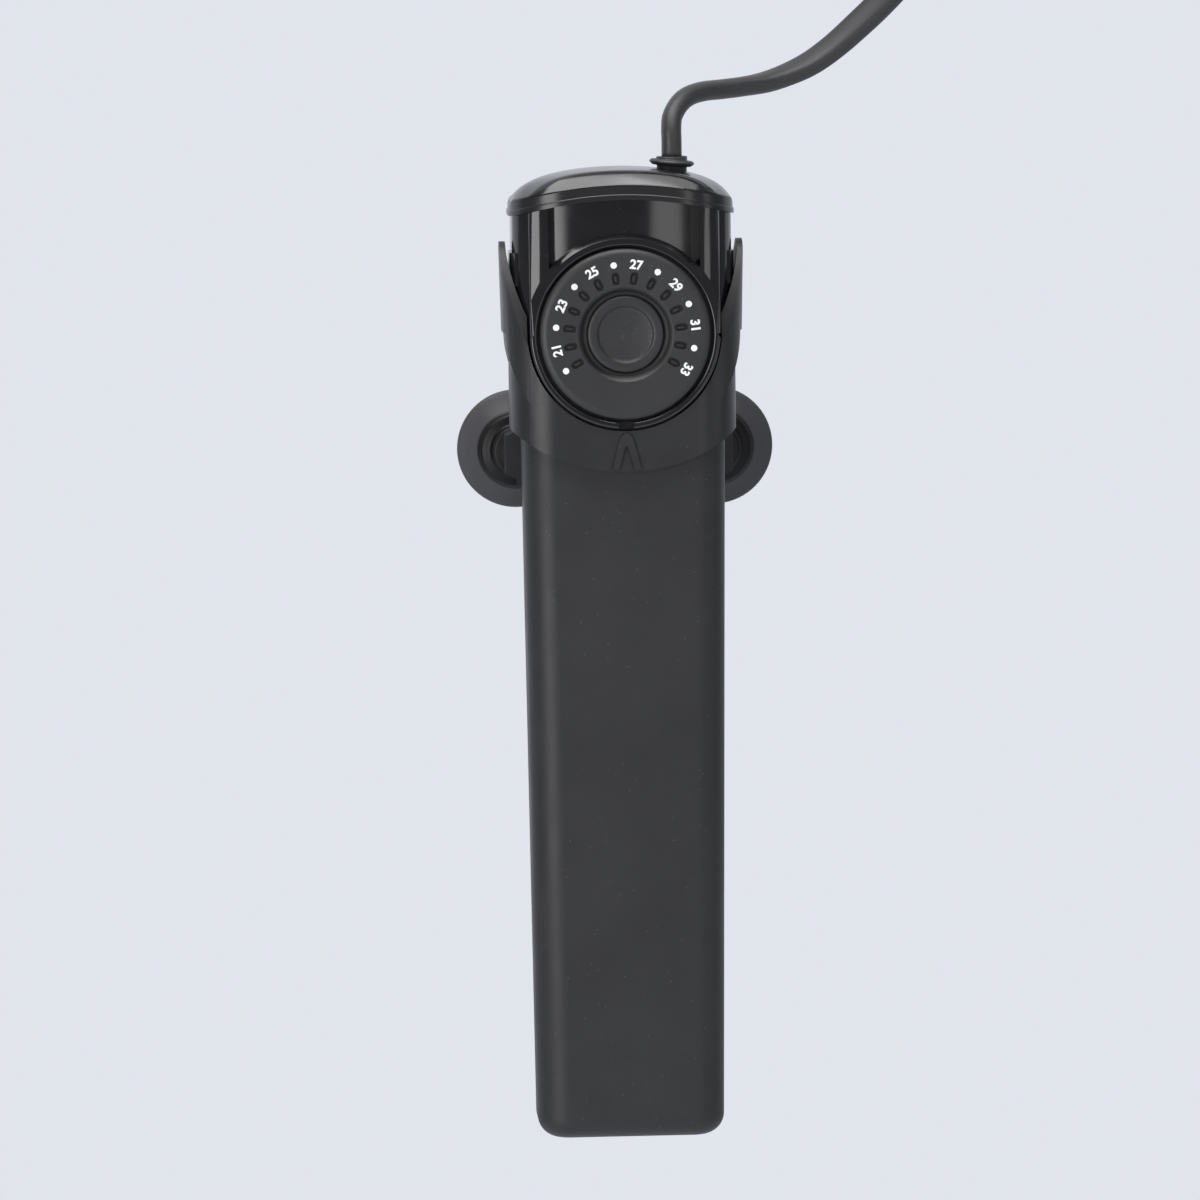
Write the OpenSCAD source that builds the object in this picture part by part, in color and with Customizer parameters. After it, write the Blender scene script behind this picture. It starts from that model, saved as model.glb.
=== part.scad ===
// Submersible aquarium heater with a thermostat dial, in a spring clip on two suction cups.
// Millimetres. X points right, Z up, and the dial faces -Y. The pane that the cups hold is the
// plane Y = 0, and the origin lies on it, midway between the two cups.

/* [Casing sleeve] */
// Width of the sleeve where it meets the head
body_w = 43.3; // [42.5:0.1:46]
// Depth of the sleeve, front to back, where it meets the head
body_d = 24; // [23:0.1:27]
// How much each side draws in towards the foot
foot_draft = 1.55; // [0:0.05:2.5]
// Length of the sleeve from its joint with the head to the foot
body_len = 156.3; // [150:0.1:230]
// Radius of the sleeve's upright corners
body_corner_r = 7; // [6:0.1:8.5]
// Rounding where the sides turn into the foot
foot_round = 6; // [3:0.1:6.5]
// Wall of the sleeve and of the head
wall = 2; // [1.6:0.1:2.3]

/* [Head] */
// Height of the casing joint above the suction cups
joint_z = 10; // [9:0.1:12]
// Height of the narrow neck that sits inside the clip
neck_h = 8; // [6:0.1:9]
// Height of the slope from the neck out to the head's full width
shoulder_h = 6; // [4:0.1:7]
// How far the head stands out past the neck on each side
head_step = 1.75; // [1:0.05:2.2]
// Radius of the head's upright corners
head_corner_r = 8; // [7:0.1:9]
// Height from the casing joint to the crown of the head's arched top edge
head_h = 46; // [45:0.1:50]
// Radius of the head's arched top edge
arch_r = 80; // [65:0.5:110]
// How far the latch pads stand out from the head's sides
pad_t = 0.5; // [0.3:0.05:0.55]
// Height of each latch pad
pad_h = 7; // [4:0.1:8]
// Length of the spigot that plugs the head into the sleeve
spigot_len = 5; // [3:0.1:7]
// Clearance of the spigot in the sleeve
spigot_gap = 0.15; // [0.15:0.05:0.3]

/* [Dial] */
// Height of the dial's centre above the casing joint
dial_h = 17.6; // [17:0.1:18.5]
// Radius of the dial
dial_r = 18.2; // [16:0.1:18.6]
// Thickness of the dial
dial_t = 3.6; // [3.2:0.1:4.2]
// Running gap round the dial and behind it
dial_gap = 0.5; // [0.35:0.05:0.8]
// Wall of the pocket that the dial turns in
rim_t = 1.5; // [1.2:0.1:2]
// How far the dial's face stands out of its pocket
dial_proud = 0.7; // [0.2:0.05:1.2]
// Number of pits pressed round the dial, one for each degree on its scale
pit_count = 14; // [8:1:18]
// Angle from one pit to the next
pit_step = 18.58; // [12:0.01:19.5]
// Radius of the circle that the pits lie on
pit_ring_r = 11.9; // [11.6:0.1:13]
// Radius of the bowl at the dial's centre
bowl_r = 6; // [4:0.1:6.8]
// Radius of the spindle in its bush
spindle_r = 3; // [2.5:0.05:3.4]
// Running clearance of a pin or a shaft in its hole
run_gap = 0.05; // [0.02:0.01:0.08]
// Angle that the dial turns between its stops
dial_turn = 300; // [240:1:304]

/* [Dial block] */
// How far the block round the dial stands out from the head's front
block_proud = 3.3; // [3:0.1:4]
// Width of the ridge on each side of the recess above the dial
ridge_w = 4.2; // [3:0.1:5]
// How much lower each ridge is at its outer side
ridge_fall = 1; // [0.5:0.05:1.2]
// How far the dial's collar reaches past the dial block into the recess
collar_t = 1; // [0.4:0.05:1.4]
// Depth of the recess at its sides, from the front of the ridges
recess_deep = 3.6; // [3.3:0.1:4.6]
// Depth of the recess at its crowned middle
recess_mid = 1.4; // [1:0.1:2.2]

/* [Cap] */
// How far the cap's edge stands out past the head
cap_lip = 0.4; // [0.2:0.05:0.8]
// Height of the cap's upright front edge
cap_edge_h = 2.7; // [2:0.1:4]
// Height of the cap's crown above the head's crown
cap_h = 6.6; // [6:0.1:8]
// Height of the cap's shoulder corners above its lower edge at the sides
cap_corner_r = 5.6; // [4:0.1:6.2]
// Radius of the curved line where the cap's front edge turns into its bevel
bevel_r = 54; // [50:0.5:75]
// Height of the thin rim along the cap's lower edge
cap_rim_h = 1.2; // [0.8:0.1:1.6]
// How far that rim stands out
cap_rim_t = 0.25; // [0.1:0.05:0.35]
// Wall of the cap
cap_wall = 1.8; // [1.4:0.1:2.2]
// Thickness of the seal between the cap and the head
seal_t = 1; // [0.8:0.1:1.4]
// Distance from the head's right side to the cord's axis
exit_inset = 12.2; // [12:0.1:16]
// Radius of the grommet's flange
grommet_r = 4.9; // [4.3:0.1:6]

/* [Clip] */
// Gap between the clip and the casing
clip_gap = 0.35; // [0.3:0.05:0.5]
// Wall of the clip's band
clip_t = 2; // [1.6:0.1:2.4]
// Wall of the clip's two wings
wing_t = 1.2; // [1.1:0.05:1.6]
// How far each wing leans outwards from its root to its tip
wing_flare = 1; // [0.8:0.05:2]
// Height of the wings' tips above the dial's centre
wing_rise = 19.2; // [16:0.1:20.5]
// Gap between the clip's neckline and the dial block
neckline_gap = 0.45; // [0.35:0.05:0.8]
// Height of the band below the neckline, at the middle
band_h = 8.7; // [7:0.1:11]
// Radius of the band's curved lower edge
band_r = 37.8; // [32:0.1:60]
// Width of the raised ring between the neckline and the crease
crease_w = 4.3; // [3.6:0.1:5]
// How far the pointer stands out from the band
pointer_t = 0.8; // [0.4:0.05:1]
// Half the height of the lug that holds a cup
lug_half_h = 5.5; // [4.5:0.1:6.5]
// Depth of the lug behind the clip's back wall
lug_d = 5.1; // [4.9:0.1:7]

/* [Suction cups] */
// Distance between the cups' axes
cup_spacing = 43.2; // [42:0.1:46]
// Radius of a cup's rim
cup_r = 12.9; // [11:0.1:15]
// Width of the flat lip that meets the pane
lip_w = 1.4; // [1:0.1:2]
// Depth of the cup's hollow
hollow_d = 2.6; // [2:0.1:3.2]
// Height of the cup's cone above the pane
cone_h = 4.2; // [4:0.1:5]
// Radius of the boss in front of the cone
boss_r = 8; // [7:0.1:8.5]
// Radius of the collar that meets the lug
collar_r = 5.5; // [4.5:0.1:6.2]
// Distance from the pane to the front of the collar
cup_stand = 8.6; // [8:0.1:10]
// Radius of the stem in the lug
stem_r = 1.6; // [1.3:0.05:1.7]

/* [Heating element] */
// How far the ceramic former's end flanges stand out past its middle
former_lip = 1.8; // [1.8:0.1:3]
// Radius of the resistance wire
wire_r = 0.6; // [0.4:0.05:0.7]
// Number of turns of the resistance wire
wire_turns = 18; // [8:1:24]

/* [Thermostat] */
// Travel of the adjusting nut over the dial's whole turn
nut_travel = 2; // [1:0.1:2.2]
// Width and height of the adjusting nut
nut_w = 9; // [8:0.1:10]
// Thickness of the adjusting nut
nut_t = 4; // [3.6:0.1:4.4]
// Thickness of the thermostat's base plate
plate_t = 1.5; // [1:0.1:1.8]
// Distance from the dial's axis to the set lever's pivot
lever_arm = 12; // [11:0.1:13]
// Radius of the set lever's pivot pin
lever_pin_r = 1; // [0.8:0.05:1.2]

/* [Mains lead] */
// Width of the flat two-core cord
cord_w = 6.4; // [5:0.1:6.8]
// Thickness of the cord
cord_t = 4.3; // [3:0.1:4.4]
// Radius of the middle of the put-away coil
coil_r = 32; // [30:0.5:34]
// Gap between neighbouring turns of the coil
coil_gap = 0.6; // [0.5:0.05:0.8]
// Width of the tie round the coil
tie_w = 4; // [3:0.5:8]
// Thickness of the tie
tie_t = 1; // [0.6:0.1:1.2]
// Length of the plug's body
plug_len = 36; // [32:0.5:40]
// Width of the plug's body
plug_w = 35.3; // [33:0.1:36]
// Thickness of the plug's body
plug_t = 13.7; // [12:0.1:14]
// Radius of a contact pin
pin_r = 2; // [1.9:0.05:2.4]
// Length of a contact pin
pin_len = 19; // [17:0.1:20]
// Distance between the two contact pins
pin_pitch = 18.6; // [17.5:0.1:19.2]
// Length of the plug's strain relief
relief_len = 22; // [20:0.5:24]

/* [Hidden] */

$fn = 64;
eps = 0.01;
big = 400;

// Depths, from the pane forwards
lug_back_y = -cup_stand - seat_gap();
wall_back_y = lug_back_y - lug_d;
wall_front_y = wall_back_y - clip_t;
back_y = wall_front_y - clip_gap;
mid_y = back_y - body_d / 2;
front_y = back_y - body_d;
block_y = front_y - block_proud;
inner_front_y = block_y + recess_deep + wall;
inner_back_y = back_y - wall;
pocket_y = block_y - dial_proud + dial_t + dial_gap;

// Heights
neck_top_z = joint_z + neck_h;
shoulder_z = neck_top_z + shoulder_h;
crown_z = joint_z + head_h;
arch_z = crown_z - arch_r;
foot_z = joint_z - body_len;
dial_z = joint_z + dial_h;
wing_z = dial_z + wing_rise;
roof_z = crown_z + cap_h;

// Widths and radii
head_w = body_w + 2 * head_step;
cap_w = head_w + 2 * cap_lip;
pocket_r = dial_r + dial_gap;
block_r = pocket_r + rim_t;
neckline_r = block_r + neckline_gap;
crease_r = neckline_r + crease_w;
recess_half = block_r - ridge_w;
cup_x = cup_spacing / 2;
cord_exit_x = head_w / 2 - exit_inset;
flange_r = body_d / 2 - wall - foot_draft - 0.15;
former_r = flange_r - former_lip;

// Gap that keeps two faces of different bodies apart
function seat_gap() = 0.3;

// ---------------------------------------------------------------- helpers

// Rectangle with true round corners, centred on the origin
module rounded(w, d, r) {
    square([w - 2 * r, d], center = true);
    square([w, d - 2 * r], center = true);
    for (x = [-1, 1], y = [-1, 1])
        translate([x * (w / 2 - r), y * (d / 2 - r)]) circle(r);
}

// The casing's outline at the neck and at the head, grown by a margin
module neck_outline(grow = 0) rounded(body_w + 2 * grow, body_d + 2 * grow, body_corner_r + grow);
module head_outline(grow = 0) rounded(head_w + 2 * grow, body_d + 2 * grow, head_corner_r + grow);

// A thin level slice of an outline, as one station of a lofted shell
module station(z) translate([0, mid_y, z]) linear_extrude(eps) children();

// A flat shape drawn in X and Z, given depth from y_front back to y_back
module along_y(y_front, y_back)
    translate([0, y_back, 0]) rotate([90, 0, 0]) linear_extrude(y_back - y_front) children();

// A round bar along Y
module bar_y(r, y_front, y_back, x = 0, z = 0)
    translate([x, y_back, z]) rotate([90, 0, 0]) cylinder(r = r, h = y_back - y_front);

// A ring of points round station i of a route, w wide along flat and t thick across it
function unit(v) = v / norm(v);
function heading(p, i) = unit(p[min(i + 1, len(p) - 1)] - p[max(i - 1, 0)]);
function ring(p, i, flat, w, t, sides) =
    let (d = heading(p, i), a = unit(flat - (flat * d) * d), b = cross(d, a))
    [for (k = [0:sides - 1])
        p[i] + a * (w / 2 * cos(360 * k / sides)) + b * (t / 2 * sin(360 * k / sides))];

// A tube swept along the route p. flats holds the direction of its wide side at each point.
module sweep(p, flats, w, t, sides) {
    last = (len(p) - 1) * sides;
    points = [for (i = [0:len(p) - 1]) each ring(p, i, flats[i], w, t, sides)];
    walls = [for (i = [0:len(p) - 2], k = [0:sides - 1])
        let (a = i * sides + k, b = i * sides + (k + 1) % sides)
        each [[a, a + sides, b], [b, a + sides, b + sides]]];
    lids = [for (k = [1:sides - 2]) each [[0, k, k + 1], [last, last + k + 1, last + k]]];
    polyhedron(points = points, faces = concat(walls, lids));
}

// ---------------------------------------------------------------- clip and cups

// The part of space that the raised ring and the wings take up, above the band
module wing_zone() {
    bar_y(crease_r, front_y - 10, 0, z = dial_z);
    translate([-big / 2, front_y - 10, dial_z]) cube([big, 60, 60]);
}

// Side view of a wing: a petal that narrows to its tip
module petal() {
    half_d = body_d / 2 + 1;
    rise = wing_z - shoulder_z;
    rim = [for (k = [-14:14]) let (u = k / 14)
        [mid_y + half_d * u, shoulder_z + rise * (1 - pow(abs(u), 2.2))]];
    rotate([90, 0, 90]) linear_extrude(big, center = true) polygon(rim);
}

// The band all round the neck, and the wings that rise from it past the head
module clip_shell() {
    translate([0, mid_y, -lug_half_h - 1])
        linear_extrude(shoulder_z + lug_half_h + 1) neck_outline(clip_gap + clip_t);
    intersection() {
        hull() {
            station(dial_z - crease_r) head_outline(clip_gap + wing_t);
            station(shoulder_z) head_outline(clip_gap + wing_t);
            station(wing_z) head_outline(clip_gap + wing_t + wing_flare);
        }
        wing_zone();
    }
}

module clip_cavity() {
    translate([0, mid_y, -lug_half_h - 2])
        linear_extrude(neck_top_z + lug_half_h + 2) neck_outline(clip_gap);
    hull() {
        station(neck_top_z - eps) neck_outline(clip_gap);
        station(shoulder_z) head_outline(clip_gap);
    }
    hull() {
        station(shoulder_z) head_outline(clip_gap);
        station(wing_z + 1) head_outline(clip_gap + wing_flare);
    }
}

// The lug that a cup's stem snaps into, on the right-hand side
module lug() {
    out = cup_x + 3;
    slope_x = 3;
    slope_z = 1.4;
    along_y(wall_back_y - 3.4, lug_back_y)
        polygon([[out - 11, -lug_half_h], [out - slope_x, -lug_half_h],
            [out, -lug_half_h + slope_z], [out, lug_half_h - slope_z],
            [out - slope_x, lug_half_h], [out - 11, lug_half_h]]);
}

module holder_clip() color([0.1, 0.1, 0.11]) {
    band_z = dial_z - neckline_r - band_h;
    neck_len = 2;
    bulb_room = 3.3;
    difference() {
        union() {
            clip_shell();
            for (s = [0, 1]) mirror([s, 0, 0]) lug();
        }
        clip_cavity();
        // neckline round the dial block, open at the top
        along_y(front_y - 10, mid_y - 6) {
            translate([0, dial_z]) circle(neckline_r);
            translate([-neckline_r, dial_z]) square([2 * neckline_r, 60]);
        }
        // curved lower edge of the band
        difference() {
            translate([-big / 2, front_y - 10, -30])
                cube([big, wall_front_y - 2 - front_y + 10, 30 + dial_z - 10]);
            bar_y(band_r, front_y - 11, 0, z = band_z + band_r, $fn = 180);
        }
        // back edge between the wings
        along_y(mid_y, 0) translate([0, neck_top_z + 30])
            rounded(head_w - 2 * head_corner_r, 60, 5);
        // the wings' outline from the side
        difference() {
            translate([-big / 2, -big / 2, shoulder_z]) cube([big, big, 60]);
            petal();
        }
        // stem hole and bulb chamber in each lug
        for (x = [-cup_x, cup_x]) {
            bar_y(stem_r + run_gap, lug_back_y - neck_len, lug_back_y + 1, x);
            bar_y(bulb_r() + run_gap, lug_back_y - neck_len - bulb_room, lug_back_y - neck_len, x);
        }
    }
    // pointer under the dial: a raised arch with a wedge-shaped slot in it
    apex_z = dial_z - neckline_r;
    face_y = front_y - clip_gap - clip_t;
    along_y(face_y - pointer_t, face_y + 0.3)
        polygon([[0, apex_z - 0.3], [0.9, apex_z - 0.8], [1.5, apex_z - 2], [2.3, apex_z - 5],
            [3.1, band_z + 0.6], [1.7, band_z + 0.4], [0.3, apex_z - 3.2], [-0.3, apex_z - 3.2],
            [-1.7, band_z + 0.4], [-3.1, band_z + 0.6], [-2.3, apex_z - 5], [-1.5, apex_z - 2],
            [-0.9, apex_z - 0.8]]);
}

// Radius of the bulb on the end of a cup's stem
function bulb_r() = stem_r + 0.5;

module suction_cup(x) {
    lip_in = cup_r - lip_w;
    stem_end = cup_stand + seat_gap() + 2;
    profile = [
        [0, hollow_d], [lip_in * 0.45, hollow_d * 0.86], [lip_in * 0.8, hollow_d * 0.42],
        [lip_in, 0], [cup_r, 0], [cup_r, 0.7], [boss_r, cone_h], [boss_r, cone_h + 1.3],
        [collar_r, cone_h + 1.7], [collar_r, cup_stand - 0.3], [collar_r - 0.3, cup_stand],
        [stem_r, cup_stand], [stem_r, stem_end + 0.1], [bulb_r(), stem_end + 0.5],
        [bulb_r(), stem_end + 2.2], [bulb_r() - 0.6, stem_end + 2.9], [0, stem_end + 2.9]
    ];
    translate([x, 0, 0]) rotate([90, 0, 0]) rotate_extrude() polygon(profile);
}

module left_suction_cup() color([0.16, 0.16, 0.17]) suction_cup(-cup_x);
module right_suction_cup() color([0.16, 0.16, 0.17]) suction_cup(cup_x);

// ---------------------------------------------------------------- casing

// The sleeve as a loft: straight draft down to the foot, then a quarter-round turn under it
module sleeve(inset, top_z) {
    low = foot_z + inset;
    round_r = foot_round - inset / 2;
    hull() {
        station(top_z) rounded(body_w - 2 * inset, body_d - 2 * inset, body_corner_r - inset);
        for (a = [0, 30, 60, 90])
            let (in = inset + foot_draft + round_r * (1 - cos(a)))
            station(low + round_r * (1 - sin(a)))
                rounded(body_w - 2 * in, body_d - 2 * in, max(1, body_corner_r - in));
    }
}

module body_tube() color([0.2, 0.2, 0.21])
    difference() {
        sleeve(0, joint_z - eps);
        sleeve(wall, joint_z + 1);
    }

// Outline of the dial block in front view: round below, straight sides above
module block_outline(grow = 0) {
    translate([0, dial_z]) circle(block_r + grow);
    translate([-block_r - grow, dial_z]) square([2 * (block_r + grow), crown_z - dial_z + 5]);
}

// Everything under the arched top edge
module under_arch(margin = 0) bar_y(arch_r + margin, front_y - 20, 0, z = arch_z, $fn = 300);

// The recess above the dial, with its crowned floor and the dial's collar left standing
module recess_cut() {
    rise = recess_deep - recess_mid;
    floor_r = (recess_half * recess_half + rise * rise) / (2 * rise);
    difference() {
        union() {
            translate([-recess_half, block_y - 5, dial_z]) cube([2 * recess_half, recess_deep + 6, 60]);
            for (s = [0, 1]) mirror([s, 0, 0]) translate([0, 0, dial_z]) linear_extrude(60)
                polygon([[block_r + 1, block_y - 1], [recess_half + 0.5, block_y - 1],
                    [recess_half + 0.5, block_y], [block_r + 1, block_y + ridge_fall]]);
        }
        translate([0, block_y + recess_mid + floor_r, dial_z - 1]) cylinder(r = floor_r, h = 70, $fn = 180);
        bar_y(block_r + collar_t, block_y - 6, front_y + 6, z = dial_z);
    }
}

// Plan of the chamber inside the head, with corners of radius r
module chamber(r)
    translate([0, (inner_front_y + inner_back_y) / 2])
        rounded(body_w - 2 * wall, inner_back_y - inner_front_y, r);

module head_housing() color([0.07, 0.07, 0.08]) {
    difference() {
        intersection() {
            union() {
                translate([0, mid_y, joint_z]) linear_extrude(neck_h) neck_outline();
                hull() {
                    station(neck_top_z - eps) neck_outline();
                    station(shoulder_z) head_outline();
                }
                translate([0, mid_y, shoulder_z]) linear_extrude(head_h) head_outline();
                along_y(block_y, front_y) block_outline();
                difference() {
                    along_y(front_y - eps, front_y + 4) block_outline();
                    translate([-big / 2, -big, -big + joint_z]) cube([big, big, big]);
                }
                // latch pads on both sides
                intersection() {
                    translate([0, mid_y, dial_z + 10]) linear_extrude(pad_h) head_outline(pad_t);
                    translate([-big / 2, mid_y - 8, joint_z]) cube([big, 14, big]);
                }
                // spigot into the sleeve
                translate([0, mid_y, joint_z - spigot_len]) linear_extrude(spigot_len + 1)
                    neck_outline(-wall - spigot_gap);
            }
            under_arch();
        }
        // inside
        translate([0, mid_y, joint_z - spigot_len - 1])
            linear_extrude(spigot_len + 1 + neck_h) rounded(body_w - 4 * wall, body_d - 4 * wall, 3);
        translate([0, 0, joint_z + 2]) linear_extrude(head_h + 10) chamber(body_corner_r - wall);
        // the dial's pocket and the recess above it
        bar_y(pocket_r, block_y - 1, pocket_y, z = dial_z);
        recess_cut();
        // mark in the pocket's rim, above the pointer
        translate([-1.6, block_y - 1, dial_z - block_r - 1]) cube([3.2, 2.8, 3]);
        bar_y(spindle_r + run_gap, pocket_y - 1, inner_front_y + 1, z = dial_z);
    }
    // bush behind the pocket, with a counterbore for the O-ring
    difference() {
        bar_y(spindle_r + 3.2, inner_front_y - eps, bush_end_y(), z = dial_z);
        bar_y(spindle_r + run_gap, inner_front_y - 1, bush_end_y() + 1, z = dial_z);
        bar_y(spindle_r + oring_t(), bush_end_y() - oring_t(), bush_end_y() + 1, z = dial_z);
    }
    // stop peg in the pocket's floor
    bar_y(1.5, pocket_y - 1.4, pocket_y + eps, 0, dial_z + stop_ring_r());
}

function bush_end_y() = inner_front_y + 3.4;
function oring_t() = 1.8;
// Circle that the dial's stop rib and the pocket's stop peg share
function stop_ring_r() = 14.4;

// The cap's front view: a low dome with tight corners at both ends
module dome_outline(inset = 0) {
    half = cap_w / 2 - inset;
    corner = cap_corner_r - inset / 2;
    side_z = roof_z - 9.7;
    h = roof_z - inset - side_z;
    x_c = half - corner;
    top_r = (x_c * x_c + h * h - corner * corner) / (2 * (h - corner));
    touch_x = x_c * top_r / (top_r - corner);
    intersection() {
        translate([0, roof_z - inset - top_r]) circle(top_r, $fn = 240);
        translate([-touch_x, side_z - 20]) square([2 * touch_x, 60]);
    }
    for (s = [-1, 1]) translate([s * x_c, side_z]) circle(corner);
    translate([-half, side_z - 20]) square([2 * half, 20]);
    translate([-x_c, side_z - 1]) square([2 * x_c, corner]);
}

// The cap's plan: tight corners at the back, wide ones at the front
module cap_plan(inset = 0) {
    front = block_y - 0.4 + inset;
    back = back_y + cap_lip - inset;
    half = cap_w / 2 - inset;
    front_r = 12 - inset;
    back_r = 8 - inset / 2;
    translate([-half, front + front_r]) square([2 * half, back - back_r - front - front_r]);
    translate([-half + front_r, front]) square([2 * (half - front_r), back - front]);
    translate([-half + back_r, front + front_r]) square([2 * (half - back_r), back - front - front_r]);
    for (s = [-1, 1]) {
        translate([s * (half - front_r), front + front_r]) circle(front_r);
        translate([s * (half - back_r), back - back_r]) circle(back_r);
    }
}

// The cap's edge and bevels, turned about an axis of their own
module cap_bevel() {
    front = block_y - 0.4;
    back = back_y + cap_lip;
    cut = cap_h + 1 - cap_edge_h;
    top = bevel_r + cut;
    translate([0, 0, crown_z + cap_edge_h - bevel_r]) rotate([90, 0, 0]) rotate_extrude($fn = 240)
        polygon([[bevel_r - 20, -front], [bevel_r, -front], [top, -front - cut],
            [top, -back + cut], [bevel_r, -back], [bevel_r - 20, -back]]);
}

module cap_solid(inset = 0)
    intersection() {
        translate([0, 0, joint_z]) linear_extrude(head_h + cap_h) cap_plan(inset);
        along_y(block_y - 5, 0) dome_outline(inset);
        cap_bevel();
    }

module top_cap() color([0.06, 0.06, 0.07])
    difference() {
        union() {
            cap_solid();
            intersection() {
                translate([0, 0, joint_z]) linear_extrude(head_h + cap_h) cap_plan(-cap_rim_t);
                under_arch(cap_rim_h);
            }
        }
        under_arch();
        intersection() {
            translate([0, 0, joint_z]) linear_extrude(head_h + cap_h)
                translate([0, mid_y]) rounded(body_w - 2 * wall - 2, body_d - 2 * wall - 2, 3);
            under_arch(cap_h - cap_wall - 1);
        }
        seal_ring();
        bar_z(stem_clear_r(), crown_z - 2, roof_z + 1, cord_exit_x, mid_y);
    }

// A round bar along Z
module bar_z(r, z0, z1, x, y) translate([x, y, z0]) cylinder(r = r, h = z1 - z0);

function stem_clear_r() = 3.2;

// The seal follows the arched edge of the head, halfway across its wall
module seal_ring()
    intersection() {
        translate([0, mid_y, joint_z]) linear_extrude(head_h + cap_h)
            difference() {
                rounded(body_w - 2 * wall + 2.4, body_d - 2 * wall + 2.4, 5);
                rounded(body_w - 2 * wall + 0.2, body_d - 2 * wall + 0.2, 4);
            }
        difference() {
            under_arch(seal_t);
            under_arch();
        }
    }

module cap_seal() color([0.5, 0.14, 0.1]) seal_ring();

// Flange, neck and stem moulded on the cord where it comes through the cap
module cord_grommet() color([0.09, 0.09, 0.1]) {
    tilt = 5;
    bar_z(stem_clear_r(), crown_z - 2, grommet_z() - 0.2, cord_exit_x, mid_y);
    translate([cord_exit_x, mid_y, grommet_z() - 1.3]) rotate([0, tilt, 0])
        rotate_extrude() polygon([[0, -0.7], [grommet_r - 0.8, -0.7], [grommet_r, 0],
            [grommet_r - 0.5, 0.55], [grommet_r - 1.4, 0.5], [0, 0.5]]);
    bar_z(3.3, grommet_z() - 1.5, grommet_z(), cord_exit_x, mid_y);
}

// Height of the grommet's upper end
function grommet_z() = roof_z + 1.8;

module cord_inner_end() color([0.12, 0.12, 0.13])
    translate([cord_exit_x, mid_y, crown_z - 14]) linear_extrude(12)
        rounded(cord_t, cord_w, cord_t / 2 - 0.1);

// Saddle that grips the cord's inner end against the head's back wall
module cable_clamp() color([0.75, 0.75, 0.72]) {
    z0 = clamp_z;
    half = 7;
    difference() {
        intersection() {
            translate([cord_exit_x - half, mid_y - cord_w / 2 - 2, z0])
                cube([2 * half, inner_back_y - mid_y + cord_w / 2 + 2, 5]);
            linear_extrude(big) chamber(body_corner_r - wall + 0.6);
        }
        translate([cord_exit_x - cord_t / 2, mid_y - cord_w / 2, z0 - 1])
            cube([cord_t, cord_w, 7]);
        for (s = [-1, 1]) bar_y(1.1, mid_y - 20, inner_back_y - 1, cord_exit_x + s * 4.8, z0 + 2.5);
    }
}

module clamp_screws() color([0.7, 0.72, 0.75])
    for (s = [-1, 1]) {
        head_y = mid_y - cord_w / 2 - 2;
        bar_y(1.1, head_y, inner_back_y - 1, cord_exit_x + s * 4.8, clamp_z + 2.5);
        bar_y(1.9, head_y - 1.2, head_y, cord_exit_x + s * 4.8, clamp_z + 2.5);
    }

// ---------------------------------------------------------------- heating element

cushion_h = 4;
core_low_z = foot_z + wall / 2 + foot_round + cushion_h;
core_high_z = joint_z - 36;
barrier_z = core_high_z + cushion_h;

module heater_core() color([0.93, 0.9, 0.84]) {
    translate([0, mid_y, core_low_z]) cylinder(r = former_r, h = core_high_z - core_low_z);
    for (z = [core_low_z, core_high_z - 3]) translate([0, mid_y, z]) cylinder(r = flange_r, h = 3);
}

// Turns of resistance wire, wound a wire's radius clear of the former
module resistance_winding() color([0.62, 0.58, 0.52]) {
    steps = 12;
    low = core_low_z + 6;
    rise = core_high_z - core_low_z - 12;
    n = wire_turns * steps;
    r = former_r + wire_r + 0.35;
    turn = [for (i = [0:n]) let (a = 360 * i / steps)
        [r * cos(a), mid_y + r * sin(a), low + rise * i / n]];
    out = [for (i = [0:n]) [cos(360 * i / steps), sin(360 * i / steps), 0]];
    sweep(turn, out, 2 * wire_r, 2 * wire_r, 5);
}

module cushion(z) translate([0, mid_y, z])
    linear_extrude(cushion_h) rounded(2 * wire_x() - 4.8, 2 * flange_r, 4);

module foot_cushion() color([0.75, 0.3, 0.2]) {
    cushion(core_low_z - cushion_h);
    translate([0, mid_y, foot_z + wall]) linear_extrude(foot_round - wall / 2 + eps)
        rounded(body_w - 4 * foot_round, body_d - 2 * foot_round - 2 * foot_draft - wall - 2, 2);
}
module top_cushion() color([0.75, 0.3, 0.2]) cushion(core_high_z);

// Board that keeps the heater's warmth away from the thermostat
module heat_barrier() color([0.86, 0.8, 0.66])
    difference() {
        translate([0, mid_y, barrier_z]) linear_extrude(2)
            rounded(body_w - 2 * wall - foot_draft, body_d - 2 * wall - foot_draft, 4);
        for (x = [-wire_x(), wire_x()]) bar_z(1.2, barrier_z - 1, barrier_z + 3, x, mid_y);
    }

// Side distance of the two lead wires where they pass the barrier
function wire_x() = body_w / 2 - body_corner_r - 0.15;

module thermal_fuse() color([0.8, 0.8, 0.82])
    translate([0, mid_y, barrier_z + 2]) {
        cylinder(r = 2, h = 11);
        translate([0, 0, 11]) cylinder(r = 0.6, h = 5);
    }

// ---------------------------------------------------------------- thermostat

plate_y = inner_back_y;
plate_half = wire_x();
strip_x = 3 - plate_half;
plate_front_y = plate_y - plate_t;
clamp_z = crown_z - 11;
plate_top_z = clamp_z - seat_gap();
spring_z = plate_top_z - 10.7;
wire_over_z = max(clamp_z - 8, dial_z + 7.6);
nut_front_y = pocket_y + 8.8;
nut_back_y = nut_front_y + nut_t;
nose_y = nut_back_y + seat_gap();
pivot_y = plate_front_y - 3.4;

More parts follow.
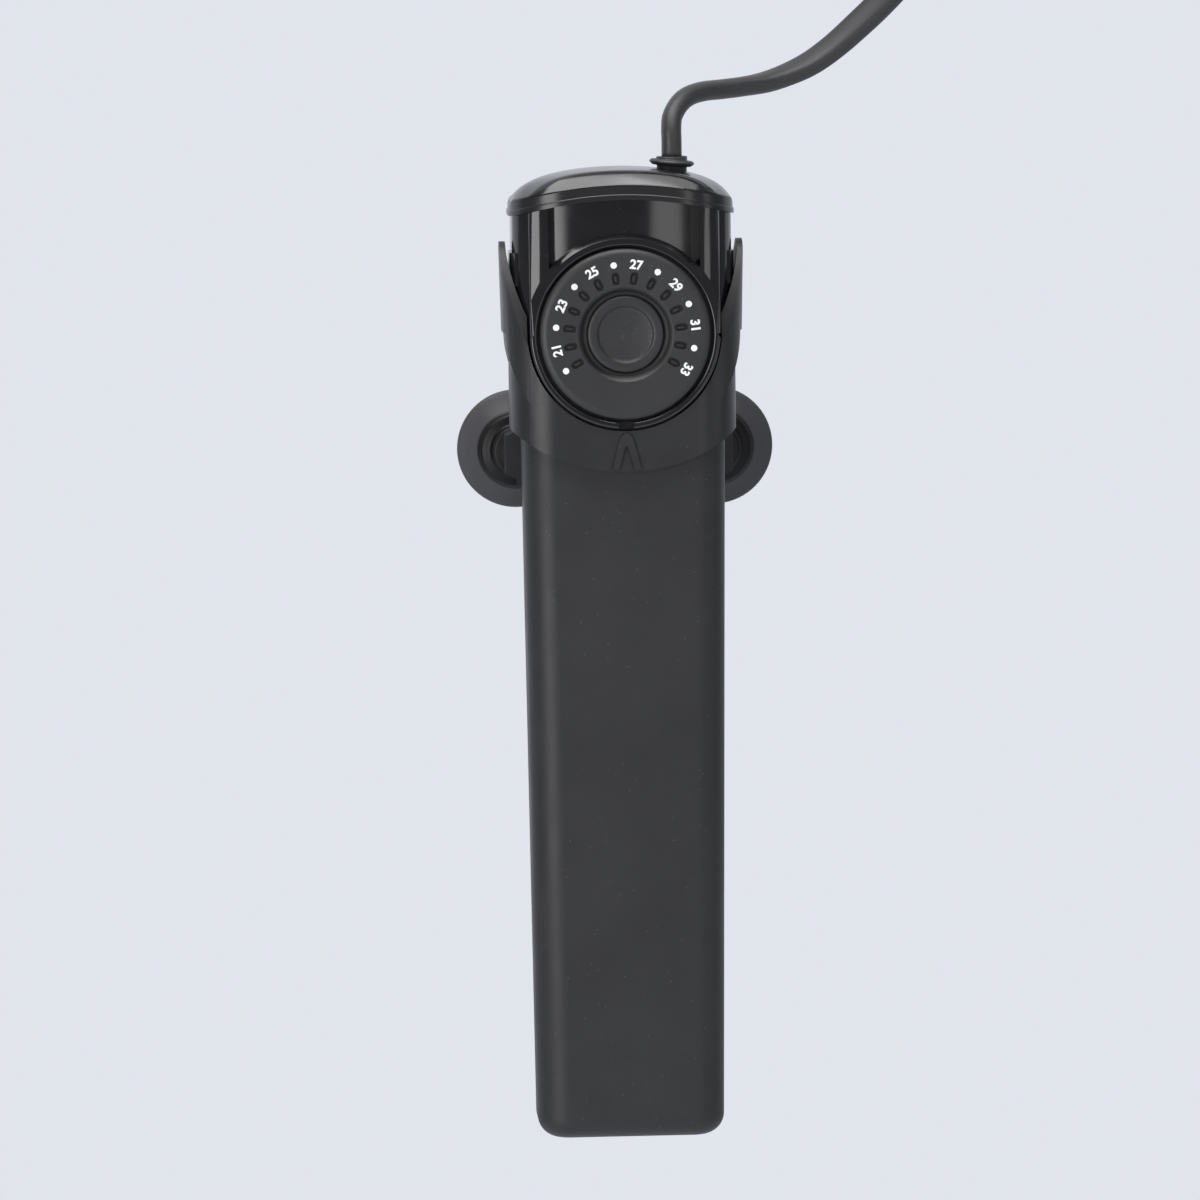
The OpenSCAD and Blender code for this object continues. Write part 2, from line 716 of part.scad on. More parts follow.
module thermostat_frame() color([0.8, 0.78, 0.7]) {
    guide_t = 1.5;
    ear_z = 5.5;
    difference() {
        translate([-plate_half, plate_front_y, joint_z + 3])
            cube([2 * plate_half, plate_t, plate_top_z - joint_z - 3]);
        bar_y(spindle_r + 1, plate_front_y - 1, plate_y + 1, 0, dial_z);
    }
    // guides above and below the adjusting nut
    for (s = [-1, 1])
        translate([-4, nut_front_y - 0.4, dial_z + s * (nut_w / 2 + seat_gap() + guide_t / 2) - guide_t / 2])
            cube([8, plate_front_y - nut_front_y + 0.4 + eps, guide_t]);
    // ears for the set lever's pin
    for (s = [-1, 1])
        difference() {
            translate([lever_arm - 3, pivot_y - 2.4, dial_z + s * ear_z - 0.75])
                cube([6, plate_front_y - pivot_y + 2.4 + eps, 1.5]);
            bar_z(lever_pin_r, dial_z - 10, dial_z + 10, lever_arm, pivot_y);
        }
    // post for the bimetal strip
    translate([strip_x - 3, plate_front_y - 5, joint_z + 5]) cube([6, 5 + eps, 5]);
}

module bimetal_strip() color([0.75, 0.6, 0.35])
    translate([strip_x - 2.5, plate_front_y - 5.6, joint_z + 5]) cube([5, 0.6, spring_z - joint_z]);

module contact_spring() color([0.85, 0.65, 0.4])
    translate([strip_x - 2.5, plate_front_y - 2.4, spring_z]) {
        cube([5, 0.5, 9]);
        translate([0, 0, 7]) cube([5, 2.4, 2]);
    }

module contact_points() color([0.85, 0.86, 0.88]) {
    bar_y(1.2, plate_front_y - 5, plate_front_y - 4, strip_x, spring_z + 3);
    bar_y(1.2, plate_front_y - 3.6, plate_front_y - 2.4, strip_x, spring_z + 3);
}

module snap_magnet() color([0.35, 0.35, 0.37])
    translate([strip_x - 2, plate_front_y - 4, joint_z + 15]) cube([4, 4, 6]);

module suppression_capacitor() color([0.85, 0.65, 0.15])
    translate([5, plate_front_y - 5, joint_z + 4]) cube([10, 5, 5.5]);

module lever_pin() color([0.75, 0.76, 0.78])
    bar_z(lever_pin_r, dial_z - 7.2, dial_z + 7.2, lever_arm, pivot_y);

// Rocks about its pin when the nut pushes its nose
module set_lever() color([0.78, 0.62, 0.36]) {
    half_h = 4.2;
    difference() {
        union() {
            translate([-1, pivot_y - 1.2, dial_z - half_h]) cube([lever_arm + 1, 1.2, 2 * half_h]);
            bar_z(lever_pin_r + 1.2, dial_z - half_h, dial_z + half_h, lever_arm, pivot_y);
            translate([-1, nose_y + 1, dial_z - half_h]) cube([2, pivot_y - 1 - nose_y, 2 * half_h]);
            bar_z(1, dial_z - half_h, dial_z + half_h, 0, nose_y + 1);
        }
        bar_z(lever_pin_r + run_gap, dial_z - half_h - 1, dial_z + half_h + 1, lever_arm, pivot_y);
    }
}

module adjusting_nut() color([0.82, 0.7, 0.35])
    difference() {
        translate([-nut_w / 2, nut_front_y, dial_z - nut_w / 2]) cube([nut_w, nut_t, nut_w]);
        bar_y(screw_r() + run_gap, nut_front_y - 1, nut_back_y + 1, z = dial_z);
    }

function screw_r() = spindle_r - 0.8;

// ---------------------------------------------------------------- dial

module dial_spindle() color([0.8, 0.7, 0.4]) {
    bar_y(spindle_r, pocket_y - dial_gap - 1.6, bush_end_y(), z = dial_z);
    bar_y(screw_r(), bush_end_y() - eps, nut_back_y - 0.2, z = dial_z);
}

module spindle_oring() color([0.1, 0.1, 0.1])
    translate([0, bush_end_y(), dial_z]) rotate([90, 0, 0])
        rotate_extrude() translate([spindle_r + run_gap + (oring_t() - run_gap) / 2, oring_t() / 2])
            circle((oring_t() - run_gap) / 2 - 0.02, $fn = 24);

module retaining_washer() color([0.75, 0.75, 0.78])
    difference() {
        bar_y(spindle_r + 1.8, bush_end_y() + seat_gap(), bush_end_y() + seat_gap() + 0.8, z = dial_z);
        bar_y(screw_r(), bush_end_y() - 1, bush_end_y() + 3, z = dial_z);
    }

// A pit on the dial: a short slot with a pip left standing in it
module pit() {
    depth = 0.7;
    difference() {
        translate([0, 0, -depth]) linear_extrude(depth + 1) {
            for (s = [-1, 1]) translate([0, s * 0.6]) circle(0.8, $fn = 24);
            square([1.6, 1.2], center = true);
        }
        translate([0, 0, -depth - 1]) linear_extrude(1.3) {
            for (s = [-1, 1]) translate([0, s * 0.4]) circle(0.36, $fn = 16);
            square([0.72, 0.8], center = true);
        }
    }
}

module dial_knob() color([0.16, 0.16, 0.17]) {
    face_y = block_y - dial_proud;
    back = dial_t;
    groove_r = bowl_r + 2.4;
    rib_a = 356 - dial_turn - 2 * asin(1.5 / stop_ring_r());
    translate([0, face_y, dial_z]) rotate([90, 0, 0]) {
        difference() {
            rotate_extrude($fn = 120) polygon([
                [0, -back], [dial_r, -back], [dial_r, -1.1], [dial_r - 0.3, -0.6],
                [dial_r - 0.9, -0.25], [dial_r - 1.7, 0],
                [groove_r + 1.7, 0], [groove_r + 0.6, -1], [groove_r, -1.1], [groove_r - 0.1, -0.9],
                [groove_r - 0.5, -0.35], [groove_r - 1.1, -0.25], [bowl_r + 0.4, -0.3],
                [bowl_r, -0.45], [bowl_r - 0.3, -0.85], [bowl_r * 0.7, -1.15],
                [bowl_r * 0.35, -1.35], [0, -1.4]]);
            for (k = [0:pit_count - 1])
                rotate([0, 0, -(k - (pit_count - 1) / 2) * pit_step]) translate([0, pit_ring_r, 0]) pit();
            // socket for the spindle
            translate([0, 0, -back - 1]) cylinder(r = spindle_r, h = 2.6);
            // groove that the stop peg runs in, all round but for the stop rib
            difference() {
                translate([0, 0, -back - 1]) linear_extrude(2.4) difference() {
                    circle(stop_ring_r() + 1.9);
                    circle(stop_ring_r() - 1.9);
                }
                translate([0, 0, -back - 2]) linear_extrude(5) rib_wedge(rib_a);
            }
        }
    }
}

// Sector that the stop rib fills, next to the peg on the side that the dial turns away from
module rib_wedge(a) {
    far = stop_ring_r() + 6;
    start = 90 + 2 + asin(1.5 / stop_ring_r());
    polygon([[0, 0], for (k = [0:4]) far * [cos(start + a * k / 4), sin(start + a * k / 4)]]);
}

// ---------------------------------------------------------------- wires

module live_wire() color([0.45, 0.25, 0.12]) insulated_wire(1, [
    [cord_exit_x + 1.1, crown_z - 14], [cord_exit_x + 1.2, crown_z - 16.4],
    [wire_x() - 1.4, crown_z - 19], [wire_x() - 0.2, crown_z - 22]
]);
module neutral_wire() color([0.15, 0.3, 0.65]) insulated_wire(-1, [
    [cord_exit_x - 1.1, clamp_z - 3], [cord_exit_x - 1.5, 0.6 * (clamp_z - 3) + 0.4 * wire_over_z],
    [cord_exit_x - 4, wire_over_z + 0.8], [0, wire_over_z], [-8, wire_over_z - 0.4],
    [-12, wire_over_z - 1.6], [-wire_x() + 0.4, wire_over_z - 4.6]
]);

// A core of the cord: from the clamp down one side past the thermostat, through the barrier
// and in to the heater's upper flange. The head of its route is given in X and Z.
module insulated_wire(s, head) {
    x = s * wire_x();
    tail = [
        [x, dial_z], [x, joint_z], [x, barrier_z + 4], [x, barrier_z - 2],
        [x - s * 0.3, core_high_z + 0.4], [x - s * 1.4, core_high_z - 1.1],
        [x - s * 3, core_high_z - 1.5], [s * flange_r, core_high_z - 1.5]
    ];
    route = [for (p = concat(head, tail)) [p[0], mid_y, p[1]]];
    sweep(route, [for (p = route) [0, 1, 0]], 1.6, 1.6, 8);
}

// ---------------------------------------------------------------- mains lead

// Waypoints of the free lead. Each gives its distance right of the grommet's axis, its place
// between the coil's back layer (0) and the grommet (1), and its height above the grommet.
lead_points = [
    [0, 1, 3.4], [0.4, 0.91, 8.4], [4.3, 0.69, 12.5], [11.5, 0.42, 13.6],
    [21.6, 0.19, 14.8], [32.1, 0.07, 18.9], [41.9, 0.02, 26.5]
];
// Route of the free tail. Each point gives its distance left of the coil's centre, its place
// between the plug (0) and the coil's front layer (1), and its height above the coil's centre.
tail_points = [
    [15, 0.98, 41.3], [22, 0.92, 41.4], [29.2, 0.84, 40.8], [35.9, 0.75, 39.9],
    [42.1, 0.63, 37.3], [47.4, 0.48, 33.2], [51.5, 0.3, 27.9], [54.1, 0.12, 21.7], [55, 0, 15]
];
coil_x = cord_exit_x + 43.8;
coil_z = grommet_z() + 105.6;
plug_x = coil_x - 55;
plug_y = -plug_t / 2 - 0.4;
plug_top_z = coil_z + 13;
coil_start = -25;
coil_turns = 6 + 115 / 360;
coil_back_y = -tie_t - 2 * seat_gap() - cord_w / 2 - 0.4;

coil_steps = 24;
coil_n = round(coil_turns * coil_steps);
coil_pitch = cord_t + coil_gap - 0.1;
layer_pitch = cord_w + coil_gap;
coil_inner_r = coil_r - coil_pitch * coil_turns / 4;

// Where the coil runs: it spirals in against the pane, climbs a layer and spirals out again
function coil_radius(u) = coil_inner_r + coil_pitch * abs(u - coil_turns / 2);
function climb(u) = let (s = max(0, min(1, 2 * (u - coil_turns / 2) + 0.5))) s * s * (3 - 2 * s);
function coil_at(u) =
    let (a = coil_start + 360 * u, r = coil_radius(u))
    [coil_x + r * cos(a), coil_back_y - layer_pitch * climb(u), coil_z + r * sin(a)];
coil_body = [for (i = [0:coil_n]) coil_at(coil_turns * i / coil_n)];
way_in = unit(coil_body[1] - coil_body[0]);
way_out = unit(coil_body[coil_n] - coil_body[coil_n - 1]);
coil_in = coil_body[0] - cord_w * way_in;
coil_out = coil_body[coil_n] + cord_w * way_out;
coil_route = concat([coil_in], coil_body, [coil_out]);

// The smallest distance between corners of the coil's rings that are not neighbours
function least_gap(rings) =
    min([for (i = [0:len(rings) - 1], j = [i + 16:1:len(rings) - 1])
        if (norm(coil_route[i] - coil_route[j]) < 10)
            min([for (p = rings[i], q = rings[j]) norm(p - q)])]);

// Direction of the cord's wide side: along Y, but turned where the lead twists
function turned(p, i, angle) =
    let (d = heading(p, i), b = unit(cross(d, [0, 1, 0])), a = cross(b, d))
    a * cos(angle) + b * sin(angle);

// Heading of a curve at waypoint i, as on the circle through it and its two neighbours
function way_heading(w, i, first, last) =
    i == 0 ? first : i == len(w) - 1 ? last :
    let (a = w[i] - w[i - 1], b = w[i + 1] - w[i], na = norm(a), nb = norm(b))
    unit(a * nb / na + b * na / nb);

// A place s along the cubic from a to b that leaves along da and arrives along db
function cubic(a, b, da, db, s) =
    let (chord = norm(b - a), u = 1 - s)
    a * u * u * (1 + 2 * s) + da * chord * s * u * u
    + b * s * s * (3 - 2 * s) - db * chord * s * s * u;

// One smooth curve through all waypoints, with a point every 6 mm or so
function smooth_way(w, first, last) = [
    for (i = [0:len(w) - 2])
        let (a = w[i], b = w[i + 1], steps = max(2, round(norm(b - a) / 6)),
            da = way_heading(w, i, first, last), db = way_heading(w, i + 1, first, last))
        for (k = [0:steps - 1]) cubic(a, b, da, db, k / steps)
];

lead_way = [for (p = lead_points)
    [cord_exit_x + p[0], coil_back_y + p[1] * (mid_y - coil_back_y), grommet_z() + p[2]]];
lead_curve = smooth_way(concat(lead_way, [coil_in - 2 * way_in]), [0, 0, 1], way_in);
tail_run = [for (p = tail_points)
    [coil_x - p[0], plug_y + p[1] * (coil_back_y - layer_pitch - plug_y), coil_z + p[2]]];
lead_route = concat([[cord_exit_x, mid_y, grommet_z()]], lead_curve, [coil_in - 2 * way_in, coil_in]);
tail_route = concat([coil_out, coil_out + 2 * way_out], tail_run, [[plug_x, plug_y, plug_top_z]]);

module cord_lead() color([0.12, 0.12, 0.13]) {
    n = len(lead_route) - 1;
    twist_from = 8;
    flats = [for (i = [0:n])
        turned(lead_route, i, i < twist_from ? 0 : 60 * sin(180 * (i - twist_from) / (n - twist_from)))];
    sweep(lead_route, flats, cord_w, cord_t, 8);
}

module cord_coil() color([0.12, 0.12, 0.13]) {
    n = len(coil_route) - 1;
    flats = [for (i = [0:n]) [0, 1, 0]];
    rings = [for (i = [0:n]) ring(coil_route, i, flats[i], cord_w, cord_t, 6)];
    echo(coil_least_gap_mm = least_gap(rings));
    sweep(coil_route, flats, cord_w, cord_t, 6);
}

module cord_tail() color([0.12, 0.12, 0.13]) {
    n = len(tail_route) - 1;
    flats = [for (i = [0:n]) turned(tail_route, i, 90 * i / n)];
    sweep(tail_route, flats, cord_w, cord_t, 8);
}

// Band round the bundle of turns, on the side of the coil away from the lead
module cord_tie() color([0.2, 0.2, 0.2]) {
    slack = seat_gap();
    deep = layer_pitch + cord_w + 2 * slack;
    across = coil_pitch * coil_turns / 2 + cord_t + 2 * slack;
    translate([coil_x - coil_r, coil_back_y - layer_pitch / 2, coil_z])
        linear_extrude(tie_w, center = true)
            difference() {
                rounded(across + 2 * tie_t, deep + 2 * tie_t, 2);
                rounded(across, deep, 1);
            }
}

// ---------------------------------------------------------------- plug

module plug_relief() color([0.1, 0.1, 0.11])
    translate([plug_x, plug_y, plug_top_z - relief_len]) {
        difference() {
            rotate_extrude() polygon([[0, 0], [6, 0], [4.1, relief_len], [0, relief_len]]);
            for (k = [1:4]) translate([0, 0, k * relief_len / 5]) difference() {
                cylinder(r = 8, h = 1.2);
                translate([0, 0, -1]) cylinder(r = 3.4, h = 4);
            }
        }
    }

// Flat plug body, narrower towards the cord
module plug_body() color([0.09, 0.09, 0.1]) {
    top_w = plug_w * 0.5;
    low = plug_top_z - relief_len - plug_len;
    hull() {
        translate([plug_x, plug_y, low]) linear_extrude(1) rounded(plug_w - 1.2, plug_t - 1.2, 5);
        translate([plug_x, plug_y, low + 1]) linear_extrude(plug_len * 0.45) rounded(plug_w, plug_t, 5.6);
        translate([plug_x, plug_y, low + plug_len - 1]) linear_extrude(1) rounded(top_w, plug_t - 0.6, 5);
    }
}

module plug_pins() color([0.8, 0.78, 0.7])
    for (s = [-1, 1]) {
        low = plug_top_z - relief_len - plug_len;
        translate([plug_x + s * pin_pitch / 2, plug_y, low - pin_len]) {
            cylinder(r = pin_r, h = pin_len);
        }
    }

// ---------------------------------------------------------------- assembly

holder_clip();
left_suction_cup();
right_suction_cup();
body_tube();
head_housing();
top_cap();
cap_seal();
cord_grommet();
cord_inner_end();
cable_clamp();
clamp_screws();
heater_core();
resistance_winding();
foot_cushion();
top_cushion();
heat_barrier();
thermal_fuse();
thermostat_frame();
bimetal_strip();
contact_spring();
contact_points();
snap_magnet();
suppression_capacitor();
lever_pin();
set_lever();
adjusting_nut();
dial_spindle();
spindle_oring();
retaining_washer();
dial_knob();
live_wire();
neutral_wire();
cord_lead();
cord_coil();
cord_tail();
cord_tie();
plug_relief();
plug_body();
plug_pins();
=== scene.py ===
# %% [markdown]
# # A submersible aquarium heater
# This file dresses the solid model of a small aquarium heater. The heater is a flat black
# casing with a round thermostat dial in its head. It sits in a spring clip that two suction
# cups hold on the glass, and its flat mains lead goes up over the tank's edge.
# The solids come first, as a frame that stays where it is. Each visible piece then gets a
# smoother shape and a finish of its own.

import math

import bmesh
import bpy
from mathutils import Matrix, Vector


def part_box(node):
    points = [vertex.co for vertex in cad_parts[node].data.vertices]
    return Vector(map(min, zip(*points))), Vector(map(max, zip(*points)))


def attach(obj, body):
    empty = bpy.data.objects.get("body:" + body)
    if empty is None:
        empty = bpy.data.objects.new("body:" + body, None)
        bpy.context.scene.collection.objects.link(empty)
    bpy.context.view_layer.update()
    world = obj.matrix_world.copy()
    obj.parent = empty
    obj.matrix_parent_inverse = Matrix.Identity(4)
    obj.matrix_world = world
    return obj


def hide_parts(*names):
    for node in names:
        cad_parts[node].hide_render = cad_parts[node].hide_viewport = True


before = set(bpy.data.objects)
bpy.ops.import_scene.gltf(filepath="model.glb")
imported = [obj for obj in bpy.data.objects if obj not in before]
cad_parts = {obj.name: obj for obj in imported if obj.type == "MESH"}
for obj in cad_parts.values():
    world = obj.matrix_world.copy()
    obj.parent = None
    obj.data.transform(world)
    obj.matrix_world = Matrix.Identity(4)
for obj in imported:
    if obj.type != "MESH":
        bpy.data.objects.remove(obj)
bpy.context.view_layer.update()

# %% [markdown]
# ## The camera
# The heater is seen from a little above and a little to the left, from well over a metre
# away, through a long lens. A long lens keeps the casing's sides nearly parallel. The camera
# comes first, so that every piece can be judged from the right place as it is made.

# %% Set the camera
CAMERA_PLACE = (-0.08346, -1.42801, 0.12556)
CAMERA_DEGREES = (83.646, 0.664, -3.274)
FOCAL_LENGTH = 197.13
bpy.ops.object.camera_add(location=CAMERA_PLACE)
camera = bpy.context.object
camera.name = "camera"
camera.rotation_euler = [math.radians(angle) for angle in CAMERA_DEGREES]
camera.data.sensor_width = 36
camera.data.lens = FOCAL_LENGTH
camera.data.clip_start = 0.05
camera.data.clip_end = 60
bpy.context.scene.camera = camera
print("camera lens:", round(camera.data.lens, 1), "mm")

# %% [markdown]
# ## The flat mains lead
# A flat two-core cord is about half as thick again one way as the other, and it twists when
# it has to bend the hard way. Here it comes straight up out of the grommet, turns to the
# right, twists a little and runs up over the tank's edge. What the view doesn't show is put
# away in a round coil, and the plug hangs beside it.
# The whole cord is one tube, swept along one line of points. The coil follows a spiral, the
# lead passes through a few waypoints and the tail through a short row of points, and a
# smooth curve then runs through all three.


# %% Pass a smooth curve through a row of points
def smooth_line(points, per_span):
    """More points on the smooth curve that passes through all the given ones."""
    made = []
    for i in range(len(points) - 1):
        before = points[max(i - 1, 0)]
        after = points[min(i + 2, len(points) - 1)]
        a, b = points[i], points[i + 1]
        for k in range(per_span):
            t = k / per_span
            square = 2 * before - 5 * a + 4 * b - after
            cube = 3 * a - before - 3 * b + after
            made.append(0.5 * (2 * a + (b - before) * t + square * t * t + cube * t * t * t))
    made.append(points[-1])
    return made


CORD_WIDE = 0.0064
CORD_THICK = 0.0043
print("cord section:", CORD_WIDE, "by", CORD_THICK, "m")

# %% Draw the coil, which spirals in against the pane and out again in front
TURNS = 6 + 115 / 360
POINTS_PER_TURN = 24
START_DEGREES = -25
PITCH = 0.0048
COIL_CENTRE = Vector((0.055, 0, 0.170))
COIL_RADIUS = 0.032
BACK_LAYER = -0.0052
LAYER_STEP = 0.007


def coil_point(turn):
    """Where the coil's middle line is after that many turns."""
    angle = math.radians(START_DEGREES + 360 * turn)
    radius = COIL_RADIUS + PITCH * (abs(turn - TURNS / 2) - TURNS / 4)
    share = min(1, max(0, 2 * (turn - TURNS / 2) + 0.5))
    climb = share * share * (3 - 2 * share)
    x = COIL_CENTRE.x + radius * math.cos(angle)
    z = COIL_CENTRE.z + radius * math.sin(angle)
    return Vector((x, BACK_LAYER - LAYER_STEP * climb, z))


coil_count = round(TURNS * POINTS_PER_TURN)
coil_points = [coil_point(TURNS * i / coil_count) for i in range(coil_count + 1)]
way_in = (coil_points[1] - coil_points[0]).normalized()
way_out = (coil_points[-1] - coil_points[-2]).normalized()
coil_points.insert(0, coil_points[0] - way_in * CORD_WIDE)
coil_points.append(coil_points[-1] + way_out * CORD_WIDE)
print("coil:", len(coil_points), "points")


# %% Draw the lead through a few waypoints, from the grommet to the coil
LEAD_STEP = 0.006
JOIN_GAP = 0.002


def way_heading(way, i, first, last):
    """Heading at waypoint i, as on the circle through it and its two neighbours."""
    if i == 0:
        return first
    if i == len(way) - 1:
        return last
    back, ahead = way[i] - way[i - 1], way[i + 1] - way[i]
    share = ahead.length / back.length
    return (back * share + ahead / share).normalized()


def smooth_way(way, first, last):
    """A smooth curve through all waypoints, with a point every step or so."""
    made = []
    for i in range(len(way) - 1):
        a, b = way[i], way[i + 1]
        chord = (b - a).length
        leave = way_heading(way, i, first, last) * chord
        arrive = way_heading(way, i + 1, first, last) * chord
        steps = max(2, round(chord / LEAD_STEP))
        for k in range(steps):
            t = k / steps
            u = 1 - t
            made.append(
                a * (u * u * (1 + 2 * t))
                + leave * (t * u * u)
                + b * (t * t * (3 - 2 * t))
                - arrive * (t * t * u)
            )
    return made


EXIT = Vector((0.0112, -0.02835, 0.0644))
waypoints = [
    EXIT + Vector((x / 1000, (share - 1) * (EXIT.y - BACK_LAYER), z / 1000))
    for x, share, z in [
        (0, 1, 3.4), (0.4, 0.91, 8.4), (4.3, 0.69, 12.5), (11.5, 0.42, 13.6),
        (21.6, 0.19, 14.8), (32.1, 0.07, 18.9), (41.9, 0.02, 26.5),
    ]
]  # fmt: skip
lead_last = coil_points[0] - way_in * JOIN_GAP
lead_curve = smooth_way([*waypoints, lead_last], Vector((0, 0, 1)), way_in)
lead_points = [EXIT, *lead_curve, lead_last]
print("lead:", len(lead_points), "points")

# %% Draw the tail, over the top and down to the plug
tail_points = [
    Vector((x / 1000, y / 1000, z / 1000))
    for x, y, z in [
        (40, -12.1, 211.3), (33, -11.8, 211.4), (25.8, -11.41, 210.8), (19.1, -10.96, 209.9),
        (12.9, -10.37, 207.3), (7.6, -9.63, 203.2), (3.5, -8.74, 197.9), (0.9, -7.84, 191.7),
        (0, -7.25, 185), (0, -7.25, 183),
    ]
]  # fmt: skip
tail_points.insert(0, coil_points[-1] + way_out * JOIN_GAP)
rough_line = lead_points + coil_points + tail_points
lead_end = len(lead_points)
tail_start = lead_end + len(coil_points)
PER_SPAN = 3
cord_line = smooth_line(rough_line, PER_SPAN)


# %% Say how far the cord is twisted at each point of the line
TWIST_FROM = 8
LEAD_TWIST = math.radians(60)
TAIL_TWIST = math.radians(90)


def cord_twist(i):
    """Angle of the cord's wide side from the direction of the pane's normal."""
    place = i / PER_SPAN
    if TWIST_FROM < place < lead_end:
        share = (place - TWIST_FROM) / (lead_end - TWIST_FROM)
        return LEAD_TWIST * math.sin(math.pi * share)
    if place > tail_start - 1:
        return TAIL_TWIST * (place - tail_start + 1) / len(tail_points)
    return 0.0


print("lead twists by", round(math.degrees(LEAD_TWIST)), "degrees")

# %% Give the cord its section
SECTION = 20
SQUARENESS = 2.6
WAIST_DEPTH = 0.02
WAIST_REACH = 0.0009


def section_point(angle):
    """A flat oval with slightly pinched waists, as two cores side by side give."""
    c, s = math.cos(angle), math.sin(angle)
    across = math.copysign(abs(c) ** (2 / SQUARENESS), c) * CORD_WIDE / 2
    through = math.copysign(abs(s) ** (2 / SQUARENESS), s) * CORD_THICK / 2
    waist = 1 - WAIST_DEPTH * math.exp(-((across / WAIST_REACH) ** 2))
    return across, through * waist


print("points round the cord:", SECTION)

# %% Sweep the section along the line
UV_PER_METRE = 10


def add_piece(name, mesh):
    """A new piece of the scene that shows this mesh."""
    made = bpy.data.objects.new(name, mesh)
    bpy.context.scene.collection.objects.link(made)
    return made


def sweep_cord(name, line):
    """A closed tube along the line, with its own UV map: U round it and V along it."""
    mesh = bpy.data.meshes.new(name)
    net = bmesh.new()
    rings = []
    run = [0.0]
    for i, at in enumerate(line):
        ahead = line[min(i + 1, len(line) - 1)] - line[max(i - 1, 0)]
        along = ahead.normalized()
        side = along.cross(Vector((0, 1, 0))).normalized()
        deep = side.cross(along)
        turn = cord_twist(i)
        wide = deep * math.cos(turn) + side * math.sin(turn)
        thick = along.cross(wide)
        ring = []
        for k in range(SECTION):
            across, through = section_point(2 * math.pi * (k + 0.5) / SECTION)
            ring.append(net.verts.new(at + wide * across + thick * through))
        rings.append(ring)
        if i:
            run.append(run[-1] + (at - line[i - 1]).length)
    layer = net.loops.layers.uv.new("along")
    for i in range(len(rings) - 1):
        for k in range(SECTION):
            n = (k + 1) % SECTION
            face = net.faces.new((rings[i][k], rings[i][n], rings[i + 1][n], rings[i + 1][k]))
            corners = ((k, run[i]), (k + 1, run[i]), (k + 1, run[i + 1]), (k, run[i + 1]))
            for loop, (u, v) in zip(face.loops, corners):
                loop[layer].uv = (u / SECTION, v * UV_PER_METRE)
    net.faces.new(rings[0][::-1])
    net.faces.new(rings[-1])
    bmesh.ops.recalc_face_normals(net, faces=net.faces)
    net.to_mesh(mesh)
    net.free()
    for face in mesh.polygons:
        face.use_smooth = True
    return add_piece(name, mesh)


cord = sweep_cord("mains_cord", cord_line)
print("cord faces:", len(cord.data.polygons))

# %% [markdown]
# ## Working copies of the solids
# The solids of the clip, head, cap and dial already have the right shape, but their edges
# are as sharp as a knife. Moulded plastic never is: each edge of the mould is a little
# round, and it is that rounding that catches the light. A working copy of a solid is merged
# into one skin, its flat triangles are dissolved into whole faces, and then a narrow bevel
# goes along each edge.


# %% Helpers that select one piece and make a working copy of a solid
MERGE_DISTANCE = 0.000004


def select_only(obj):
    """Object mode, with this piece alone selected and active."""
    if bpy.context.object and bpy.context.object.mode != "OBJECT":
        bpy.ops.object.mode_set(mode="OBJECT")
    bpy.ops.object.select_all(action="DESELECT")
    obj.select_set(True)
    bpy.context.view_layer.objects.active = obj


def working_copy(node, name, flat=0.6):
    """A merged copy of a CAD node's mesh, with its flat triangles joined into faces."""
    copy = add_piece(name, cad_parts[node].data.copy())
    select_only(copy)
    bpy.ops.object.mode_set(mode="EDIT")
    bpy.ops.mesh.select_all(action="SELECT")
    bpy.ops.mesh.remove_doubles(threshold=MERGE_DISTANCE)
    bpy.ops.mesh.dissolve_limited(angle_limit=math.radians(flat))
    bpy.ops.object.mode_set(mode="OBJECT")
    copy.data.materials.clear()
    return copy


print("merge distance:", MERGE_DISTANCE, "m")


# %% Helpers that round edges
SHARP_FROM = math.radians(25)


def round_edges(obj, width, segments=2, angle=28):
    """A narrow bevel along each edge that turns by more than the angle."""
    bevel = obj.modifiers.new("rounded edges", "BEVEL")
    bevel.width = width
    bevel.segments = segments
    bevel.limit_method = "ANGLE"
    bevel.angle_limit = math.radians(angle)
    bevel.use_clamp_overlap = True
    bevel.miter_outer = "MITER_ARC"
    select_only(obj)
    bpy.ops.object.modifier_apply(modifier=bevel.name)
    bpy.ops.object.shade_smooth_by_angle(angle=math.radians(38))


def pick_edges(obj, rule):
    """Select the edges of an open mesh that a rule picks, and nothing else; count them."""
    bpy.ops.mesh.select_all(action="DESELECT")
    net = bmesh.from_edit_mesh(obj.data)
    chosen = [edge for edge in net.edges if rule(edge)]
    for edge in chosen:
        edge.select = True
    bmesh.update_edit_mesh(obj.data)
    return len(chosen)


def round_chosen(obj, rule, width, segments):
    """A wide bevel along the sharp edges that a rule picks, made before the narrow ones.

    Short neighbours would hold the width back, so the overlap clamp stays off."""
    select_only(obj)
    bpy.ops.object.mode_set(mode="EDIT")
    bpy.ops.mesh.select_mode(type="EDGE")
    count = pick_edges(obj, lambda edge: edge.calc_face_angle(0) > SHARP_FROM and rule(edge))
    bpy.ops.mesh.bevel(
        offset=width, segments=segments, affect="EDGES", offset_type="OFFSET", clamp_overlap=False
    )
    bpy.ops.object.mode_set(mode="OBJECT")
    return count


def keep_faces_flat(obj):
    """Shading normals that follow the big faces and leave the bevels to turn."""
    weighted = obj.modifiers.new("flat faces", "WEIGHTED_NORMAL")
    weighted.keep_sharp = True
    weighted.weight = 80
    select_only(obj)
    bpy.ops.object.modifier_apply(modifier=weighted.name)


print("sharp from", round(math.degrees(SHARP_FROM)), "degrees")

